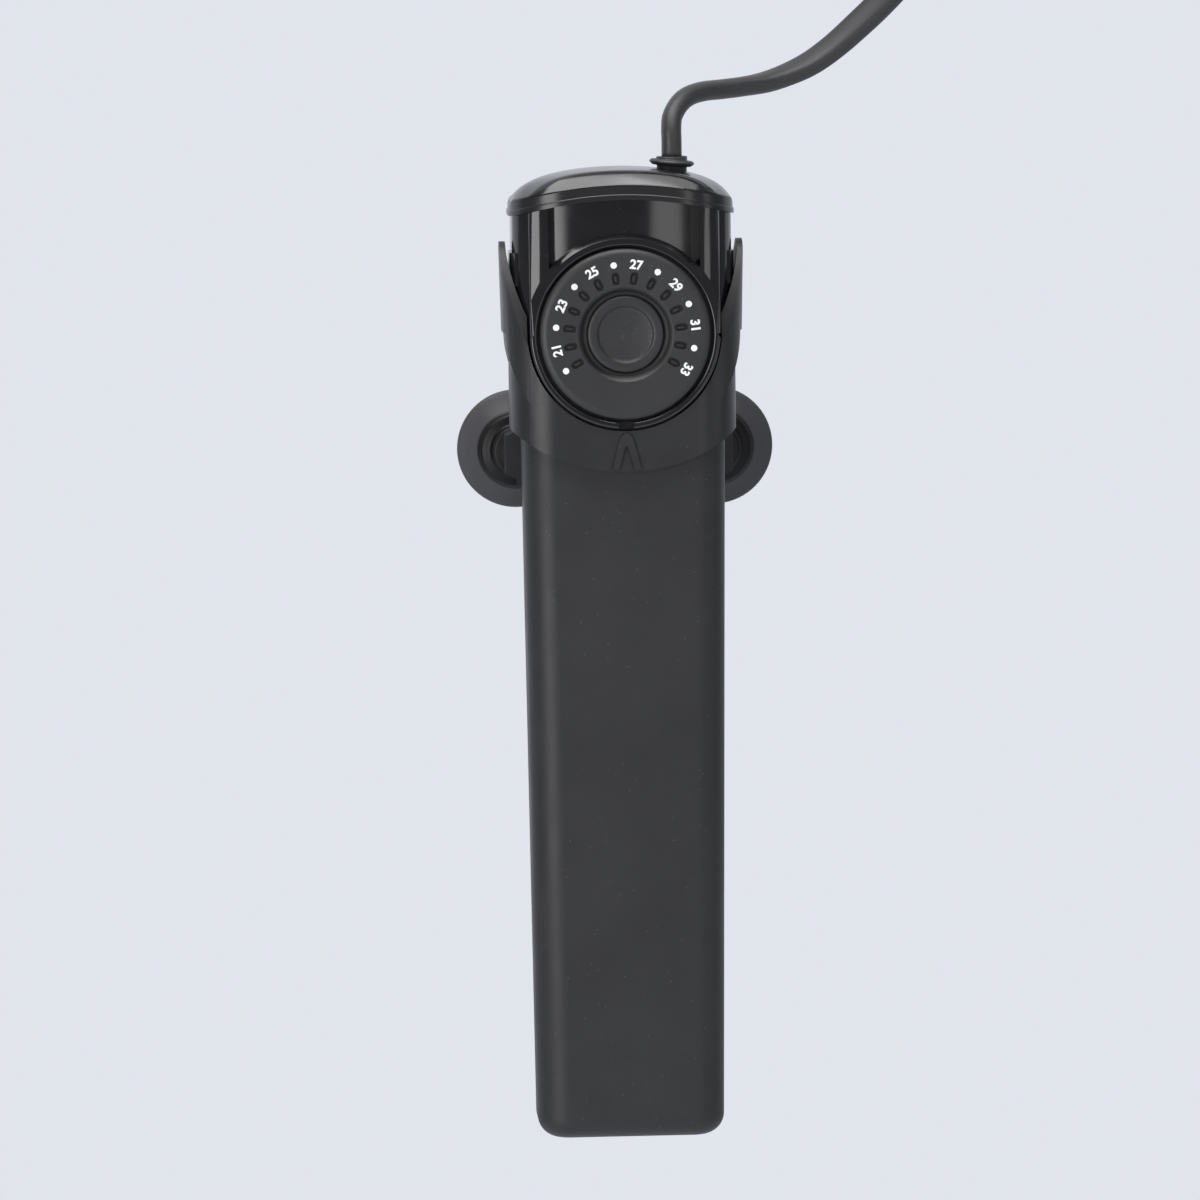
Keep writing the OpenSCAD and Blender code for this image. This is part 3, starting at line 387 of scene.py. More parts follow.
# %% [markdown]
# ## The sleeve
# The sleeve is one deep moulding that holds the heating element. It narrows a little
# towards the foot, so that it leaves its mould, and its upright corners are well rounded.
# It starts as a cube, which is narrowed at the foot and then bevelled twice: the upright
# corners first, and then the edge round the foot.

# %% Model the sleeve
# Width and depth at the top, and how far each side draws in, in millimetres
TOP_SIZE = (43.3, 24)
DRAFT = 1.55
CORNER_ROUND = 0.0068
FOOT_ROUND = 0.0045
low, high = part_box("body_tube")
middle = (low + high) / 2
bpy.ops.mesh.primitive_cube_add(size=1, location=middle)
sleeve = bpy.context.object
sleeve.name = "sleeve"
sleeve.scale = high - low
bpy.ops.object.transform_apply(location=True, rotation=True, scale=True)
select_only(sleeve)
bpy.ops.object.mode_set(mode="EDIT")
bpy.ops.mesh.select_all(action="DESELECT")
net = bmesh.from_edit_mesh(sleeve.data)
for vertex in net.verts:
    if vertex.co.z < middle.z:
        vertex.select = True
net.select_flush(True)
bmesh.update_edit_mesh(sleeve.data)
bpy.ops.transform.resize(value=(*[(size - 2 * DRAFT) / size for size in TOP_SIZE], 1))
upright = pick_edges(sleeve, lambda edge: abs(edge.verts[0].co.z - edge.verts[1].co.z) > 0.1)
bpy.ops.mesh.bevel(offset=CORNER_ROUND, segments=14, affect="EDGES", offset_type="OFFSET")
round_foot = pick_edges(sleeve, lambda edge: all(v.co.z < low.z + 0.0001 for v in edge.verts))
bpy.ops.mesh.bevel(offset=FOOT_ROUND, segments=10, affect="EDGES", offset_type="OFFSET")
bpy.ops.object.mode_set(mode="OBJECT")
bpy.ops.object.shade_smooth_by_angle(angle=math.radians(40))
print("rounded:", upright, "upright edges and", round_foot, "round the foot")

# %% [markdown]
# ## The head and the clip
# Head and clip are copies of their solids with rounded edges. The head comes from a polished
# mould, and some of its edges catch the light of the lamps as long bright lines: its two
# ridges, the collar round its dial and the rims of the dial's pocket and of its block.
# These are picked by their place and rounded more widely. Each ridge also gets two slopes,
# because a single one would shine evenly.

# %% Find the head's edges by their place
head = working_copy("head_housing", "head_shell")
BLOCK_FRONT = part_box("head_housing")[0].y
DIAL_HEIGHT = 0.0276
COLLAR_RADIUS = 0.0212
COLLAR_HALF = 0.0156
BLOCK_RADIUS = 0.0202
POCKET_RADIUS = 0.0187
RIDGE_INSIDE = 0.016
RIDGE_OUTSIDE = 0.0202
TOUCH, NEAR = 0.0001, 0.0002


def from_dial(point):
    """Distance of a point from the dial's axis."""
    return math.hypot(point.x, point.z - DIAL_HEIGHT)


def is_rim(edge, radius, slack=TOUCH):
    """An edge in the head's front plane, that far from the dial's axis."""
    ends = [v.co for v in edge.verts]
    return all(
        abs(p.y - BLOCK_FRONT) < TOUCH and abs(from_dial(p) - radius) < slack for p in ends
    )


def is_upright(edge, out):
    """An upright edge, that far to the left or the right of the middle."""
    a, b = (v.co for v in edge.verts)
    return abs(a.z - b.z) > 0.003 and abs(a.x - b.x) < TOUCH and abs(abs(a.x) - out) < NEAR


print("head's front plane at", round(BLOCK_FRONT * 1000, 2), "mm")


# %% Rules that pick the edges to round widely
def is_collar(edge):
    """The outer edge of the collar, where it stands out of the recess."""
    inside = all(abs(v.co.x) < COLLAR_HALF for v in edge.verts)
    return inside and is_rim(edge, COLLAR_RADIUS, NEAR)


def is_ridge(edge):
    """The upright outer edges of the two ridges."""
    return is_upright(edge, RIDGE_OUTSIDE) and edge.verts[0].co.y < BLOCK_FRONT + 0.002


def is_ridge_root(edge):
    """The upright inner edges of the two ridges, above the recess."""
    return is_upright(edge, RIDGE_INSIDE) and abs(edge.verts[0].co.y - BLOCK_FRONT) < NEAR


def is_pocket_rim(edge):
    """The front edge of the pocket that the dial sits in."""
    return is_rim(edge, POCKET_RADIUS)


def is_block_rim(edge):
    """The front edge of the round dial block, below the two ridges."""
    below = all(v.co.z < DIAL_HEIGHT + 0.0005 for v in edge.verts)
    return below and is_rim(edge, BLOCK_RADIUS)


print("collar radius:", COLLAR_RADIUS * 1000, "mm")

# %% Give each ridge two slopes, a gentle one inside and a steeper one outside
OLD_CREST, NEW_CREST = 0.0165, 0.0166
FAR_SIDE = RIDGE_OUTSIDE + TOUCH
SLOPE_BREAK = 0.0182
OUTER_BACK = 0.00035
BREAK_FORWARD = 0.00012
SLOPE_BACK = BLOCK_FRONT + 0.0012
for vertex in head.data.vertices:
    at = vertex.co
    if at.z > DIAL_HEIGHT + 0.005 and at.y < SLOPE_BACK:
        if abs(abs(at.x) - RIDGE_OUTSIDE) < NEAR and at.y > BLOCK_FRONT + 0.0005:
            at.y += OUTER_BACK
        elif abs(abs(at.x) - OLD_CREST) < TOUCH:
            at.x = math.copysign(NEW_CREST, at.x)
net = bmesh.new()
net.from_mesh(head.data)
for side in (-1, 1):
    slopes = [
        face
        for face in net.faces
        if all(OLD_CREST < side * v.co.x < FAR_SIDE and v.co.y < SLOPE_BACK for v in face.verts)
    ]
    touched = {e for face in slopes for e in face.edges} | {v for f in slopes for v in f.verts}
    halves = bmesh.ops.bisect_plane(
        net,
        geom=[*slopes, *touched],
        plane_co=(side * SLOPE_BREAK, 0, 0),
        plane_no=(1, 0, 0),
        dist=0.00001,
    )
    for part in halves["geom_cut"]:
        if isinstance(part, bmesh.types.BMVert):
            part.co.y -= BREAK_FORWARD
    print("ridge slopes:", len(slopes), "cut:", len(halves["geom_cut"]))
net.to_mesh(head.data)
net.free()

# %% Round the head's widest edges
for rule, width, segments in (
    (is_collar, 0.001, 1),
    (is_ridge, 0.0009, 6),
    (is_ridge_root, 0.0003, 3),
    (is_pocket_rim, 0.0005, 4),
    (is_block_rim, 0.0006, 4),
):
    print(rule.__name__, "picked", round_chosen(head, rule, width, segments), "edges")

# %% Round the other edges of the head, the clip and the grommet
round_edges(head, 0.00025)
keep_faces_flat(head)
clip = working_copy("holder_clip", "spring_clip")
round_edges(clip, 0.0003, angle=32)
keep_faces_flat(clip)
grommet = working_copy("cord_grommet", "grommet_moulding")
round_edges(grommet, 0.0002)
print("head, clip:", [len(o.data.polygons) for o in (head, clip)])

# %% [markdown]
# ## The cap
# The cap is a low dome with a bevel along its front and its back. The bevel is widest in the
# middle and runs out to nothing at the corners, so that it looks like a crescent. Such a
# shape has no single profile, so it is lofted: it is cut into slices from left to right, each
# slice gets its own outline from front to back, and skin is stretched over all of them.

# %% Heights along the cap, in millimetres, for a slice at x
CAP_HALF, CAP_FRONT, CAP_BACK = 23.8, -44.05, -15.95
ARCH_CENTRE, ARCH_RADIUS = -24, 80
DOME_FOOT, DOME_RISE, DOME_HALF = 53.6, 8.6, 23.9
EDGE_HEIGHT = 3.15
BEVEL_RISE, BEVEL_HALF = 3, 20.2


def cap_underside(x):
    """Where the cap meets the head's arched top edge."""
    return ARCH_CENTRE + math.sqrt(ARCH_RADIUS * ARCH_RADIUS - x * x)


def cap_crown(x):
    """The dome's highest line, which falls away fast at both ends."""
    return DOME_FOOT + DOME_RISE * (1 - min(1, abs(x) / DOME_HALF) ** 2.8) ** 0.476


def cap_edge(x):
    """The top of the upright front edge, a steady height above the head."""
    return min(cap_underside(x) + EDGE_HEIGHT, cap_crown(x) - 0.35)


def bevel_height(x):
    """How far the bevel climbs: most in the middle and next to nothing at the corners."""
    return max(0.25, BEVEL_RISE * (1 - min(1, abs(x) / BEVEL_HALF) ** 5.5))


def cap_side(x, corner):
    """How far the front or the back draws in where the plan's corner turns."""
    past = max(0, abs(x) - (CAP_HALF - corner))
    return corner - math.sqrt(max(0, corner * corner - past * past))


print("cap rises from", cap_underside(0), "to", round(cap_crown(0), 2), "mm")

# %% The outline of half a slice, from its rim up and over to the middle
RIM = ((-0.25, 0), (-0.25, 0.95), (-0.2, 1.1), (-0.08, 1.2), (0, 1.22))


def rounded_corner(a, corner, b, count=5):
    """Points on a smooth curve that leaves a towards the corner and arrives at b."""
    return [
        a * (1 - t) ** 2 + corner * (2 * t * (1 - t)) + b * t * t
        for t in (k / (count - 1) for k in range(count))
    ]


def half_slice(x, reach):
    """Pairs of (distance inwards, height); the rim stands a little proud, so it is below 0."""
    low, edge = cap_underside(x), cap_edge(x)
    climb = bevel_height(x)
    foot, top = Vector((0, edge)), Vector((climb, min(edge + climb, cap_crown(x) - 0.02)))
    slope = (top - foot).normalized()
    room = 0.45 * (top - foot).length
    small, large = min(0.4, room), min(1.3, room)
    rest = cap_crown(x) - top.y
    points = [Vector((inwards, low + up)) for inwards, up in RIM]
    start = Vector((0, max(edge - small, low + 1.25)))
    points += rounded_corner(start, foot, foot + slope * small)
    begun = large / (reach - top.x)
    after = Vector((top.x + large, top.y + rest * math.sin(math.pi / 2 * begun)))
    points += rounded_corner(top - slope * large, top, after)
    for k in range(1, 5):
        share = begun + (1 - begun) * k / 4
        height = top.y + rest * math.sin(math.pi / 2 * share)
        points.append(Vector((top.x + (reach - top.x) * share, height)))
    return points


print("points in half a slice:", len(half_slice(0, 14)))


# %% Stretch the skin over the slices
def loft_cap(name, count=56):
    """The whole cap as one closed skin."""
    net = bmesh.new()
    slices = []
    middle_y = (CAP_FRONT + CAP_BACK) / 2
    for i in range(count + 1):
        x = CAP_HALF * math.sin(math.pi * (i / count - 0.5))
        ring = []
        for sign, wall, corner in ((1, CAP_FRONT, 12), (-1, CAP_BACK, 8)):
            y = wall + sign * cap_side(x, corner)
            past = max(0, abs(x) - (CAP_HALF - corner)) / corner
            out = (math.copysign(past, x), -sign * math.sqrt(max(0, 1 - past * past)))
            half = []
            for inwards, z in half_slice(x, sign * (middle_y - y)):
                if inwards < 0:
                    at = (x - out[0] * inwards, y - out[1] * inwards, z)
                else:
                    at = (x, y + sign * inwards, z)
                half.append(Vector(at) / 1000)
            ring += half if sign > 0 else half[-2::-1]
        slices.append([net.verts.new(at) for at in ring])
    size = len(slices[0])
    for a, b in zip(slices, slices[1:]):
        for k in range(size):
            n = (k + 1) % size
            net.faces.new((a[k], b[k], b[n], a[n]))
    for end in (slices[0], slices[-1]):
        for k in range(size // 2):
            corners = (end[k], end[k + 1], end[size - 2 - k], end[size - 1 - k])
            net.faces.new(dict.fromkeys(corners))
    bmesh.ops.remove_doubles(net, verts=net.verts, dist=0.000002)
    bmesh.ops.recalc_face_normals(net, faces=net.faces)
    mesh = bpy.data.meshes.new(name)
    net.to_mesh(mesh)
    net.free()
    made = add_piece(name, mesh)
    select_only(made)
    bpy.ops.object.shade_smooth_by_angle(angle=math.radians(32))
    return made


cap = loft_cap("cap_shell")
print("cap faces:", len(cap.data.polygons))

# %% [markdown]
# ## The dial
# The dial is a flat disc with a bowl at its centre for a fingertip. A ring of small slots
# lies inside the scale, one for each degree. The bowl's few faces are subdivided and pushed
# back into a dish that is deepest in the middle, so that it shades smoothly.

# %% Round the dial's edges and make its bowl a smooth dish
dial = working_copy("dial_knob", "dial_disc", flat=0.05)
DIAL_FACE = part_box("dial_knob")[0].y
DIAL_CENTRE = Vector((0, DIAL_FACE, DIAL_HEIGHT))
BOWL_RADIUS = 0.0057
BOWL_REACH = BOWL_RADIUS + 0.0001
BOWL_FLOOR = DIAL_FACE + 0.0016
BOWL_DEPTH = 0.0014
DISH = 0.00055
select_only(dial)
bpy.ops.object.mode_set(mode="EDIT")
bpy.ops.mesh.select_all(action="DESELECT")
net = bmesh.from_edit_mesh(dial.data)
for face in net.faces:
    inside = all(from_dial(v.co) < BOWL_REACH for v in face.verts)
    if inside and face.calc_center_median().y < BOWL_FLOOR:
        face.select = True
bmesh.update_edit_mesh(dial.data)
bpy.ops.mesh.subdivide(number_cuts=3)
net = bmesh.from_edit_mesh(dial.data)
dished = 0
for vertex in net.verts:
    out = from_dial(vertex.co)
    if out < BOWL_REACH and vertex.co.y < BOWL_FLOOR:
        vertex.co.y = DIAL_FACE + BOWL_DEPTH - DISH * (out / BOWL_RADIUS) ** 2
        dished += 1
bmesh.update_edit_mesh(dial.data)
bpy.ops.object.mode_set(mode="OBJECT")
round_edges(dial, 0.00012, angle=32)
keep_faces_flat(dial)
print("dial face at", round(DIAL_FACE * 1000, 2), "mm, dished corners:", dished)

# %% Print the scale on the dial: numbers at the odd degrees and dots at the even ones
MARK_COUNT = 14
MARK_STEP = math.radians(18.58)
SCALE_RADIUS = 0.0148
FIRST_NUMBER = 20
NUMBER_SIZE = 0.0027
NUMBER_SWELL = 0.00009
NUMBER_THICK = 0.00004
DOT_RADIUS = 0.00068
marks = []
for k in range(MARK_COUNT):
    turn = (k - (MARK_COUNT - 1) / 2) * MARK_STEP
    at = DIAL_CENTRE + Vector((math.sin(turn), 0, math.cos(turn))) * SCALE_RADIUS
    if k % 2:
        bpy.ops.object.text_add(location=(0, 0, 0))
        mark = bpy.context.object
        mark.data.body = str(FIRST_NUMBER + k)
        mark.data.align_x = "CENTER"
        mark.data.align_y = "CENTER"
        mark.data.size = NUMBER_SIZE
        mark.data.offset = NUMBER_SWELL
        mark.data.extrude = NUMBER_THICK
        mark.data.resolution_u = 4
        bpy.ops.object.convert(target="MESH")
    else:
        bpy.ops.mesh.primitive_cylinder_add(
            vertices=24, radius=DOT_RADIUS, depth=2 * NUMBER_THICK
        )
        mark = bpy.context.object
    place = (
        Matrix.Translation(at)
        @ Matrix.Rotation(turn, 4, "Y")
        @ Matrix.Rotation(math.radians(90), 4, "X")
    )
    mark.data.transform(place)
    mark.matrix_world = Matrix.Identity(4)
    marks.append(mark)
select_only(marks[0])
for mark in marks:
    mark.select_set(True)
bpy.ops.object.join()
scale_marks = bpy.context.object
scale_marks.name = "scale_marks"
print("scale marks:", len(marks))

# %% [markdown]
# ## The suction cups
# A suction cup is turned round one axis, so its outline is drawn once as a row of points
# and spun. The rim is thin and the boss behind it is thick, which is what makes the rim
# flex first. The stem's bulb snaps into the clip's lug.

# %% Spin a suction cup from its outline
cup_outline = [
    (0.0, 2.6), (3.0, 2.45), (6.0, 1.95), (8.6, 1.2), (10.4, 0.5), (11.3, 0.12), (11.7, 0.0),
    (12.6, 0.0), (12.85, 0.12), (12.9, 0.4), (12.7, 0.72), (12.0, 1.15), (11.0, 1.8),
    (10.0, 2.55), (9.0, 3.35), (8.35, 3.9), (8.08, 4.3), (8.0, 4.7), (7.9, 5.15), (7.5, 5.45),
    (6.6, 5.6), (6.0, 5.75), (5.6, 6.1), (5.5, 6.6), (5.5, 7.6), (5.4, 8.15), (5.1, 8.45),
    (4.6, 8.58), (2.0, 8.6), (1.6, 8.75), (1.6, 10.9), (1.7, 11.1), (2.0, 11.4), (2.1, 11.8),
    (2.1, 12.7), (2.0, 13.2), (1.6, 13.6), (0.9, 13.78), (0.0, 13.8),
]  # fmt: skip


def spin_cup(name, x):
    """One suction cup about the line through x, as a closed skin."""
    mesh = bpy.data.meshes.new(name)
    made = add_piece(name, mesh)
    net = bmesh.new()
    points = [net.verts.new((r / 1000 + x, -d / 1000, 0)) for r, d in cup_outline]
    for a, b in zip(points, points[1:]):
        net.edges.new((a, b))
    net.to_mesh(mesh)
    net.free()
    select_only(made)
    bpy.ops.object.mode_set(mode="EDIT")
    bpy.ops.mesh.select_all(action="SELECT")
    bpy.ops.mesh.spin(steps=72, angle=2 * math.pi, center=(x, 0, 0), axis=(0, 1, 0), dupli=False)
    bpy.ops.mesh.select_all(action="SELECT")
    bpy.ops.mesh.remove_doubles(threshold=0.000005)
    bpy.ops.mesh.normals_make_consistent(inside=False)
    bpy.ops.object.mode_set(mode="OBJECT")
    bpy.ops.object.shade_smooth_by_angle(angle=math.radians(50))
    return made


CUP_OUT = 0.0216
left_cup = spin_cup("left_cup_rubber", -CUP_OUT)
right_cup = spin_cup("right_cup_rubber", CUP_OUT)
print("cup faces:", len(left_cup.data.polygons))

# %% [markdown]
# ## Plug and tie
# The plug is the flat two-pin kind that a double-insulated heater has. The tie is a strip
# of the same black plastic.

# %% Round the edges of the plug and the tie
plug = working_copy("plug_body", "plug_moulding")
round_edges(plug, 0.0008, segments=3)
keep_faces_flat(plug)
relief = working_copy("plug_relief", "plug_sleeve")
round_edges(relief, 0.00025)
tie = working_copy("cord_tie", "cord_band")
round_edges(tie, 0.0003)
pins = working_copy("plug_pins", "contact_pins")
round_edges(pins, 0.0006, segments=4)
print("plug faces:", len(plug.data.polygons))

# %% [markdown]
# ## Finishes
# Moulded plastic looks black, but it is never one flat colour. The mould leaves a fine
# grain, the surface has slow changes of gloss, and a little dust settles on it. These three
# effects are groups of nodes that several finishes share.


# %% A helper that starts a group of nodes, and the group for the mould's fine grain
FLOAT = "NodeSocketFloat"


def new_group(name, inputs, outputs):
    """An empty group with its sockets: (name, type, default value) for each."""
    group = bpy.data.node_groups.new(name, "ShaderNodeTree")
    for label, kind, value in inputs:
        socket = group.interface.new_socket(label, in_out="INPUT", socket_type=kind)
        if value is not None:
            socket.default_value = value
    for label, kind in outputs:
        group.interface.new_socket(label, in_out="OUTPUT", socket_type=kind)
    return group, group.nodes.new("NodeGroupInput"), group.nodes.new("NodeGroupOutput")


grain, grain_in, grain_out = new_group(
    "mould grain",
    [("Grain", FLOAT, 6000.0), ("Depth", FLOAT, 0.3)],
    [("Normal", "NodeSocketVector"), ("Value", FLOAT)],
)
where = grain.nodes.new("ShaderNodeTexCoord")
noise = grain.nodes.new("ShaderNodeTexNoise")
noise.inputs["Detail"].default_value = 3
noise.inputs["Roughness"].default_value = 0.6
bump = grain.nodes.new("ShaderNodeBump")
bump.inputs["Distance"].default_value = 0.00005
grain.links.new(where.outputs["Object"], noise.inputs["Vector"])
grain.links.new(grain_in.outputs["Grain"], noise.inputs["Scale"])
grain.links.new(noise.outputs["Fac"], bump.inputs["Height"])
grain.links.new(grain_in.outputs["Depth"], bump.inputs["Strength"])
grain.links.new(bump.outputs["Normal"], grain_out.inputs["Normal"])
grain.links.new(noise.outputs["Fac"], grain_out.inputs["Value"])
print("group:", grain.name)

# %% A group for dust: sparse pale specks
dust, dust_in, dust_out = new_group(
    "dust specks",
    [("Scale", FLOAT, 900.0), ("Amount", FLOAT, 0.1)],
    [("Mask", FLOAT)],
)
where = dust.nodes.new("ShaderNodeTexCoord")
cells = dust.nodes.new("ShaderNodeTexVoronoi")
cells.feature = "F1"
spot = dust.nodes.new("ShaderNodeMath")
spot.operation = "LESS_THAN"
spot.inputs[1].default_value = 0.13
pick = dust.nodes.new("ShaderNodeSeparateColor")
few = dust.nodes.new("ShaderNodeMath")
few.operation = "LESS_THAN"
both = dust.nodes.new("ShaderNodeMath")
both.operation = "MULTIPLY"
dust.links.new(where.outputs["Object"], cells.inputs["Vector"])
dust.links.new(dust_in.outputs["Scale"], cells.inputs["Scale"])
dust.links.new(cells.outputs["Distance"], spot.inputs[0])
dust.links.new(cells.outputs["Color"], pick.inputs[0])
dust.links.new(pick.outputs[0], few.inputs[0])
dust.links.new(dust_in.outputs["Amount"], few.inputs[1])
dust.links.new(spot.outputs[0], both.inputs[0])
dust.links.new(few.outputs[0], both.inputs[1])
dust.links.new(both.outputs[0], dust_out.inputs["Mask"])
print("group:", dust.name)

# %% A group for slow changes over the surface
drift, drift_in, drift_out = new_group(
    "slow drift",
    [("Scale", FLOAT, 60.0), ("Low", FLOAT, 0.4), ("High", FLOAT, 0.5)],
    [("Value", FLOAT)],
)
where = drift.nodes.new("ShaderNodeTexCoord")
noise = drift.nodes.new("ShaderNodeTexNoise")
noise.inputs["Detail"].default_value = 4
spread = drift.nodes.new("ShaderNodeMapRange")
spread.inputs["From Min"].default_value = 0.3
spread.inputs["From Max"].default_value = 0.7
drift.links.new(where.outputs["Object"], noise.inputs["Vector"])
drift.links.new(drift_in.outputs["Scale"], noise.inputs["Scale"])
drift.links.new(noise.outputs["Fac"], spread.inputs["Value"])
drift.links.new(drift_in.outputs["Low"], spread.inputs["To Min"])
drift.links.new(drift_in.outputs["High"], spread.inputs["To Max"])
drift.links.new(spread.outputs["Result"], drift_out.inputs["Value"])
print("group:", drift.name)


# %% A finish made of these groups
def place_group(tree, group, **values):
    """The group as a node of this material, with its own values."""
    node = tree.nodes.new("ShaderNodeGroup")
    node.node_tree = group
    for label, value in values.items():
        node.inputs[label].default_value = value
    return node


def start_finish(name, grain_size, depth, gloss_scale, rough):
    """A new material with grain and drifting gloss, with its nodes and its shader."""
    made = bpy.data.materials.new(name)
    made.use_nodes = True
    tree = made.node_tree
    shader = tree.nodes["Principled BSDF"]
    skin = place_group(tree, grain, Grain=grain_size, Depth=depth)
    tree.links.new(skin.outputs["Normal"], shader.inputs["Normal"])
    gloss = place_group(tree, drift, Scale=gloss_scale, Low=rough[0], High=rough[1])
    tree.links.new(gloss.outputs["Value"], shader.inputs["Roughness"])
    return made, tree, shader


def colour_mix(tree, **colours):
    """A node that mixes colours A and B, of which one may be left to be linked."""
    node = tree.nodes.new("ShaderNodeMix")
    node.data_type = "RGBA"
    for label, colour in colours.items():
        node.inputs[label].default_value = (*colour, 1)
    return node


def uneven_colour(tree, scale, dark, light):
    """Where to link from for two shades of a colour that drift into each other."""
    shade = place_group(tree, drift, Scale=scale, Low=0.0, High=1.0)
    tint = colour_mix(tree, A=dark, B=light)
    tree.links.new(shade.outputs["Value"], tint.inputs["Factor"])
    return tint.outputs["Result"]


print("groups so far:", len(bpy.data.node_groups))

# %% Black finishes of the outside
SPECK_PALER = 0.09


def plastic(name, colour, rough, grain_size, depth, dust_share, specular=0.5):
    """Moulded plastic or rubber: grain, drifting gloss and a few specks of dust."""
    made, tree, shader = start_finish(name, grain_size, depth, 70.0, rough)
    shader.inputs["Specular IOR Level"].default_value = specular
    tint = uneven_colour(tree, 35.0, [c * 0.88 for c in colour], [c * 1.12 for c in colour])
    speck = place_group(tree, dust, Scale=1400.0, Amount=dust_share)
    dusty = colour_mix(tree, B=[c + SPECK_PALER for c in colour])
    tree.links.new(speck.outputs["Mask"], dusty.inputs["Factor"])
    tree.links.new(tint, dusty.inputs["A"])
    tree.links.new(dusty.outputs["Result"], shader.inputs["Base Color"])
    return made


# Each line gives colour, roughness from and to, grain's size and depth, dust and shine
SLEEVE_COLOUR, DIAL_COLOUR = (0.018, 0.018, 0.0195), (0.018, 0.018, 0.019)
GLOSSY_COLOUR, SATIN_COLOUR = (0.008, 0.008, 0.009), (0.014, 0.014, 0.015)
CUP_COLOUR, CORD_COLOUR = (0.052, 0.052, 0.057), (0.024, 0.024, 0.026)
sleeve_black = plastic("sleeve black", SLEEVE_COLOUR, (0.42, 0.52), 5200, 0.5, 0.05, 0.35)
head_black = plastic("head black", GLOSSY_COLOUR, (0.09, 0.14), 3000, 0.1, 0.03, 0.55)
cap_black = plastic("cap black", GLOSSY_COLOUR, (0.13, 0.2), 3000, 0.12, 0.04, 0.55)
clip_black = plastic("clip black", SATIN_COLOUR, (0.36, 0.46), 4200, 0.3, 0.04, 0.4)
dial_black = plastic("dial black", DIAL_COLOUR, (0.4, 0.5), 5200, 0.4, 0.05, 0.45)
cup_rubber = plastic("cup rubber", CUP_COLOUR, (0.35, 0.48), 2600, 0.3, 0.05, 0.22)
cord_rubber = plastic("cord rubber", CORD_COLOUR, (0.42, 0.52), 4200, 0.4, 0.06)
plug_black = plastic("plug black", SATIN_COLOUR, (0.4, 0.5), 3600, 0.5, 0.03)
print("nodes in one black finish:", len(sleeve_black.node_tree.nodes))

# %% [markdown]
# ## Deep places and the cap's edge
# Light hardly reaches the slots of the dial, the groove round its bowl or the bosses of the cups,
# so they look darker than the faces round them. A mask that depends on the place alone picks
# them out, and a darker colour is mixed in there as painted shade. The cap's upright edge is
# duller than its polished top.
# It follows an arc, so a ring picks it out.

# %% A group that tells how deep a point lies, going back from the front
depth_mask, depth_in, depth_out = new_group(
    "depth mask",
    [("Start", FLOAT, 0.0), ("End", FLOAT, 0.001)],
    [("Mask", FLOAT)],
)
where = depth_mask.nodes.new("ShaderNodeTexCoord")
parts = depth_mask.nodes.new("ShaderNodeSeparateXYZ")
ramp = depth_mask.nodes.new("ShaderNodeMapRange")
depth_mask.links.new(where.outputs["Object"], parts.inputs[0])
depth_mask.links.new(parts.outputs["Y"], ramp.inputs["Value"])
depth_mask.links.new(depth_in.outputs["Start"], ramp.inputs["From Min"])
depth_mask.links.new(depth_in.outputs["End"], ramp.inputs["From Max"])
depth_mask.links.new(ramp.outputs["Result"], depth_out.inputs["Mask"])
print("group:", depth_mask.name)


# %% Helpers that darken a finish under a mask and make a ring-shaped mask
def darken(finish, mask, colour):
    """The finish's own colour, giving way to a darker one where the mask is 1."""
    tree = finish.node_tree
    base = tree.nodes["Principled BSDF"].inputs["Base Color"]
    shade = colour_mix(tree, B=colour)
    tree.links.new(base.links[0].from_socket, shade.inputs["A"])
    tree.links.new(mask, shade.inputs["Factor"])
    tree.links.new(shade.outputs["Result"], base)


def ring_mask(tree, centre, bounds):
    """1 between two distances from an axis that runs front to back, and 0 elsewhere."""
    where = tree.nodes.new("ShaderNodeTexCoord")
    flat = tree.nodes.new("ShaderNodeVectorMath")
    flat.operation = "MULTIPLY"
    flat.inputs[1].default_value = (1, 0, 1)
    reach = tree.nodes.new("ShaderNodeVectorMath")
    reach.operation = "DISTANCE"
    reach.inputs[1].default_value = centre
    both = tree.nodes.new("ShaderNodeMath")
    both.operation = "MULTIPLY"
    tree.links.new(where.outputs["Object"], flat.inputs[0])
    tree.links.new(flat.outputs["Vector"], reach.inputs[0])
    for i, (start, end) in enumerate(bounds):
        ramp = tree.nodes.new("ShaderNodeMapRange")
        ramp.inputs["From Min"].default_value = start
        ramp.inputs["From Max"].default_value = end
        tree.links.new(reach.outputs["Value"], ramp.inputs["Value"])
        tree.links.new(ramp.outputs["Result"], both.inputs[i])
    return both.outputs[0]


print("masks:", depth_mask.name, "and ring")

# %% Paint shade into the dial's slots and the groove round its bowl, and onto the cups' bosses
SLOT_RING = [(0.006, 0.0064), (0.0165, 0.016)]
# Painted shade: darker colours for the dial's recesses and the cups' shadowed bosses
PAINTED_SHADE_BLACK, PAINTED_SHADE_RUBBER = (0.002, 0.002, 0.002), (0.002, 0.002, 0.0025)
tree = dial_black.node_tree
slots = place_group(tree, depth_mask, Start=DIAL_FACE + 0.0002, End=DIAL_FACE + 0.0006)
ring = ring_mask(tree, (0, 0, DIAL_HEIGHT), SLOT_RING)
painted_shade = tree.nodes.new("ShaderNodeMath")
painted_shade.operation = "MULTIPLY"
tree.links.new(slots.outputs["Mask"], painted_shade.inputs[0])
tree.links.new(ring, painted_shade.inputs[1])
darken(dial_black, painted_shade.outputs[0], PAINTED_SHADE_BLACK)
boss = place_group(cup_rubber.node_tree, depth_mask, Start=-0.0035, End=-0.0039)
darken(cup_rubber, boss.outputs["Mask"], PAINTED_SHADE_RUBBER)
print("darkened:", dial_black.name, "and", cup_rubber.name)

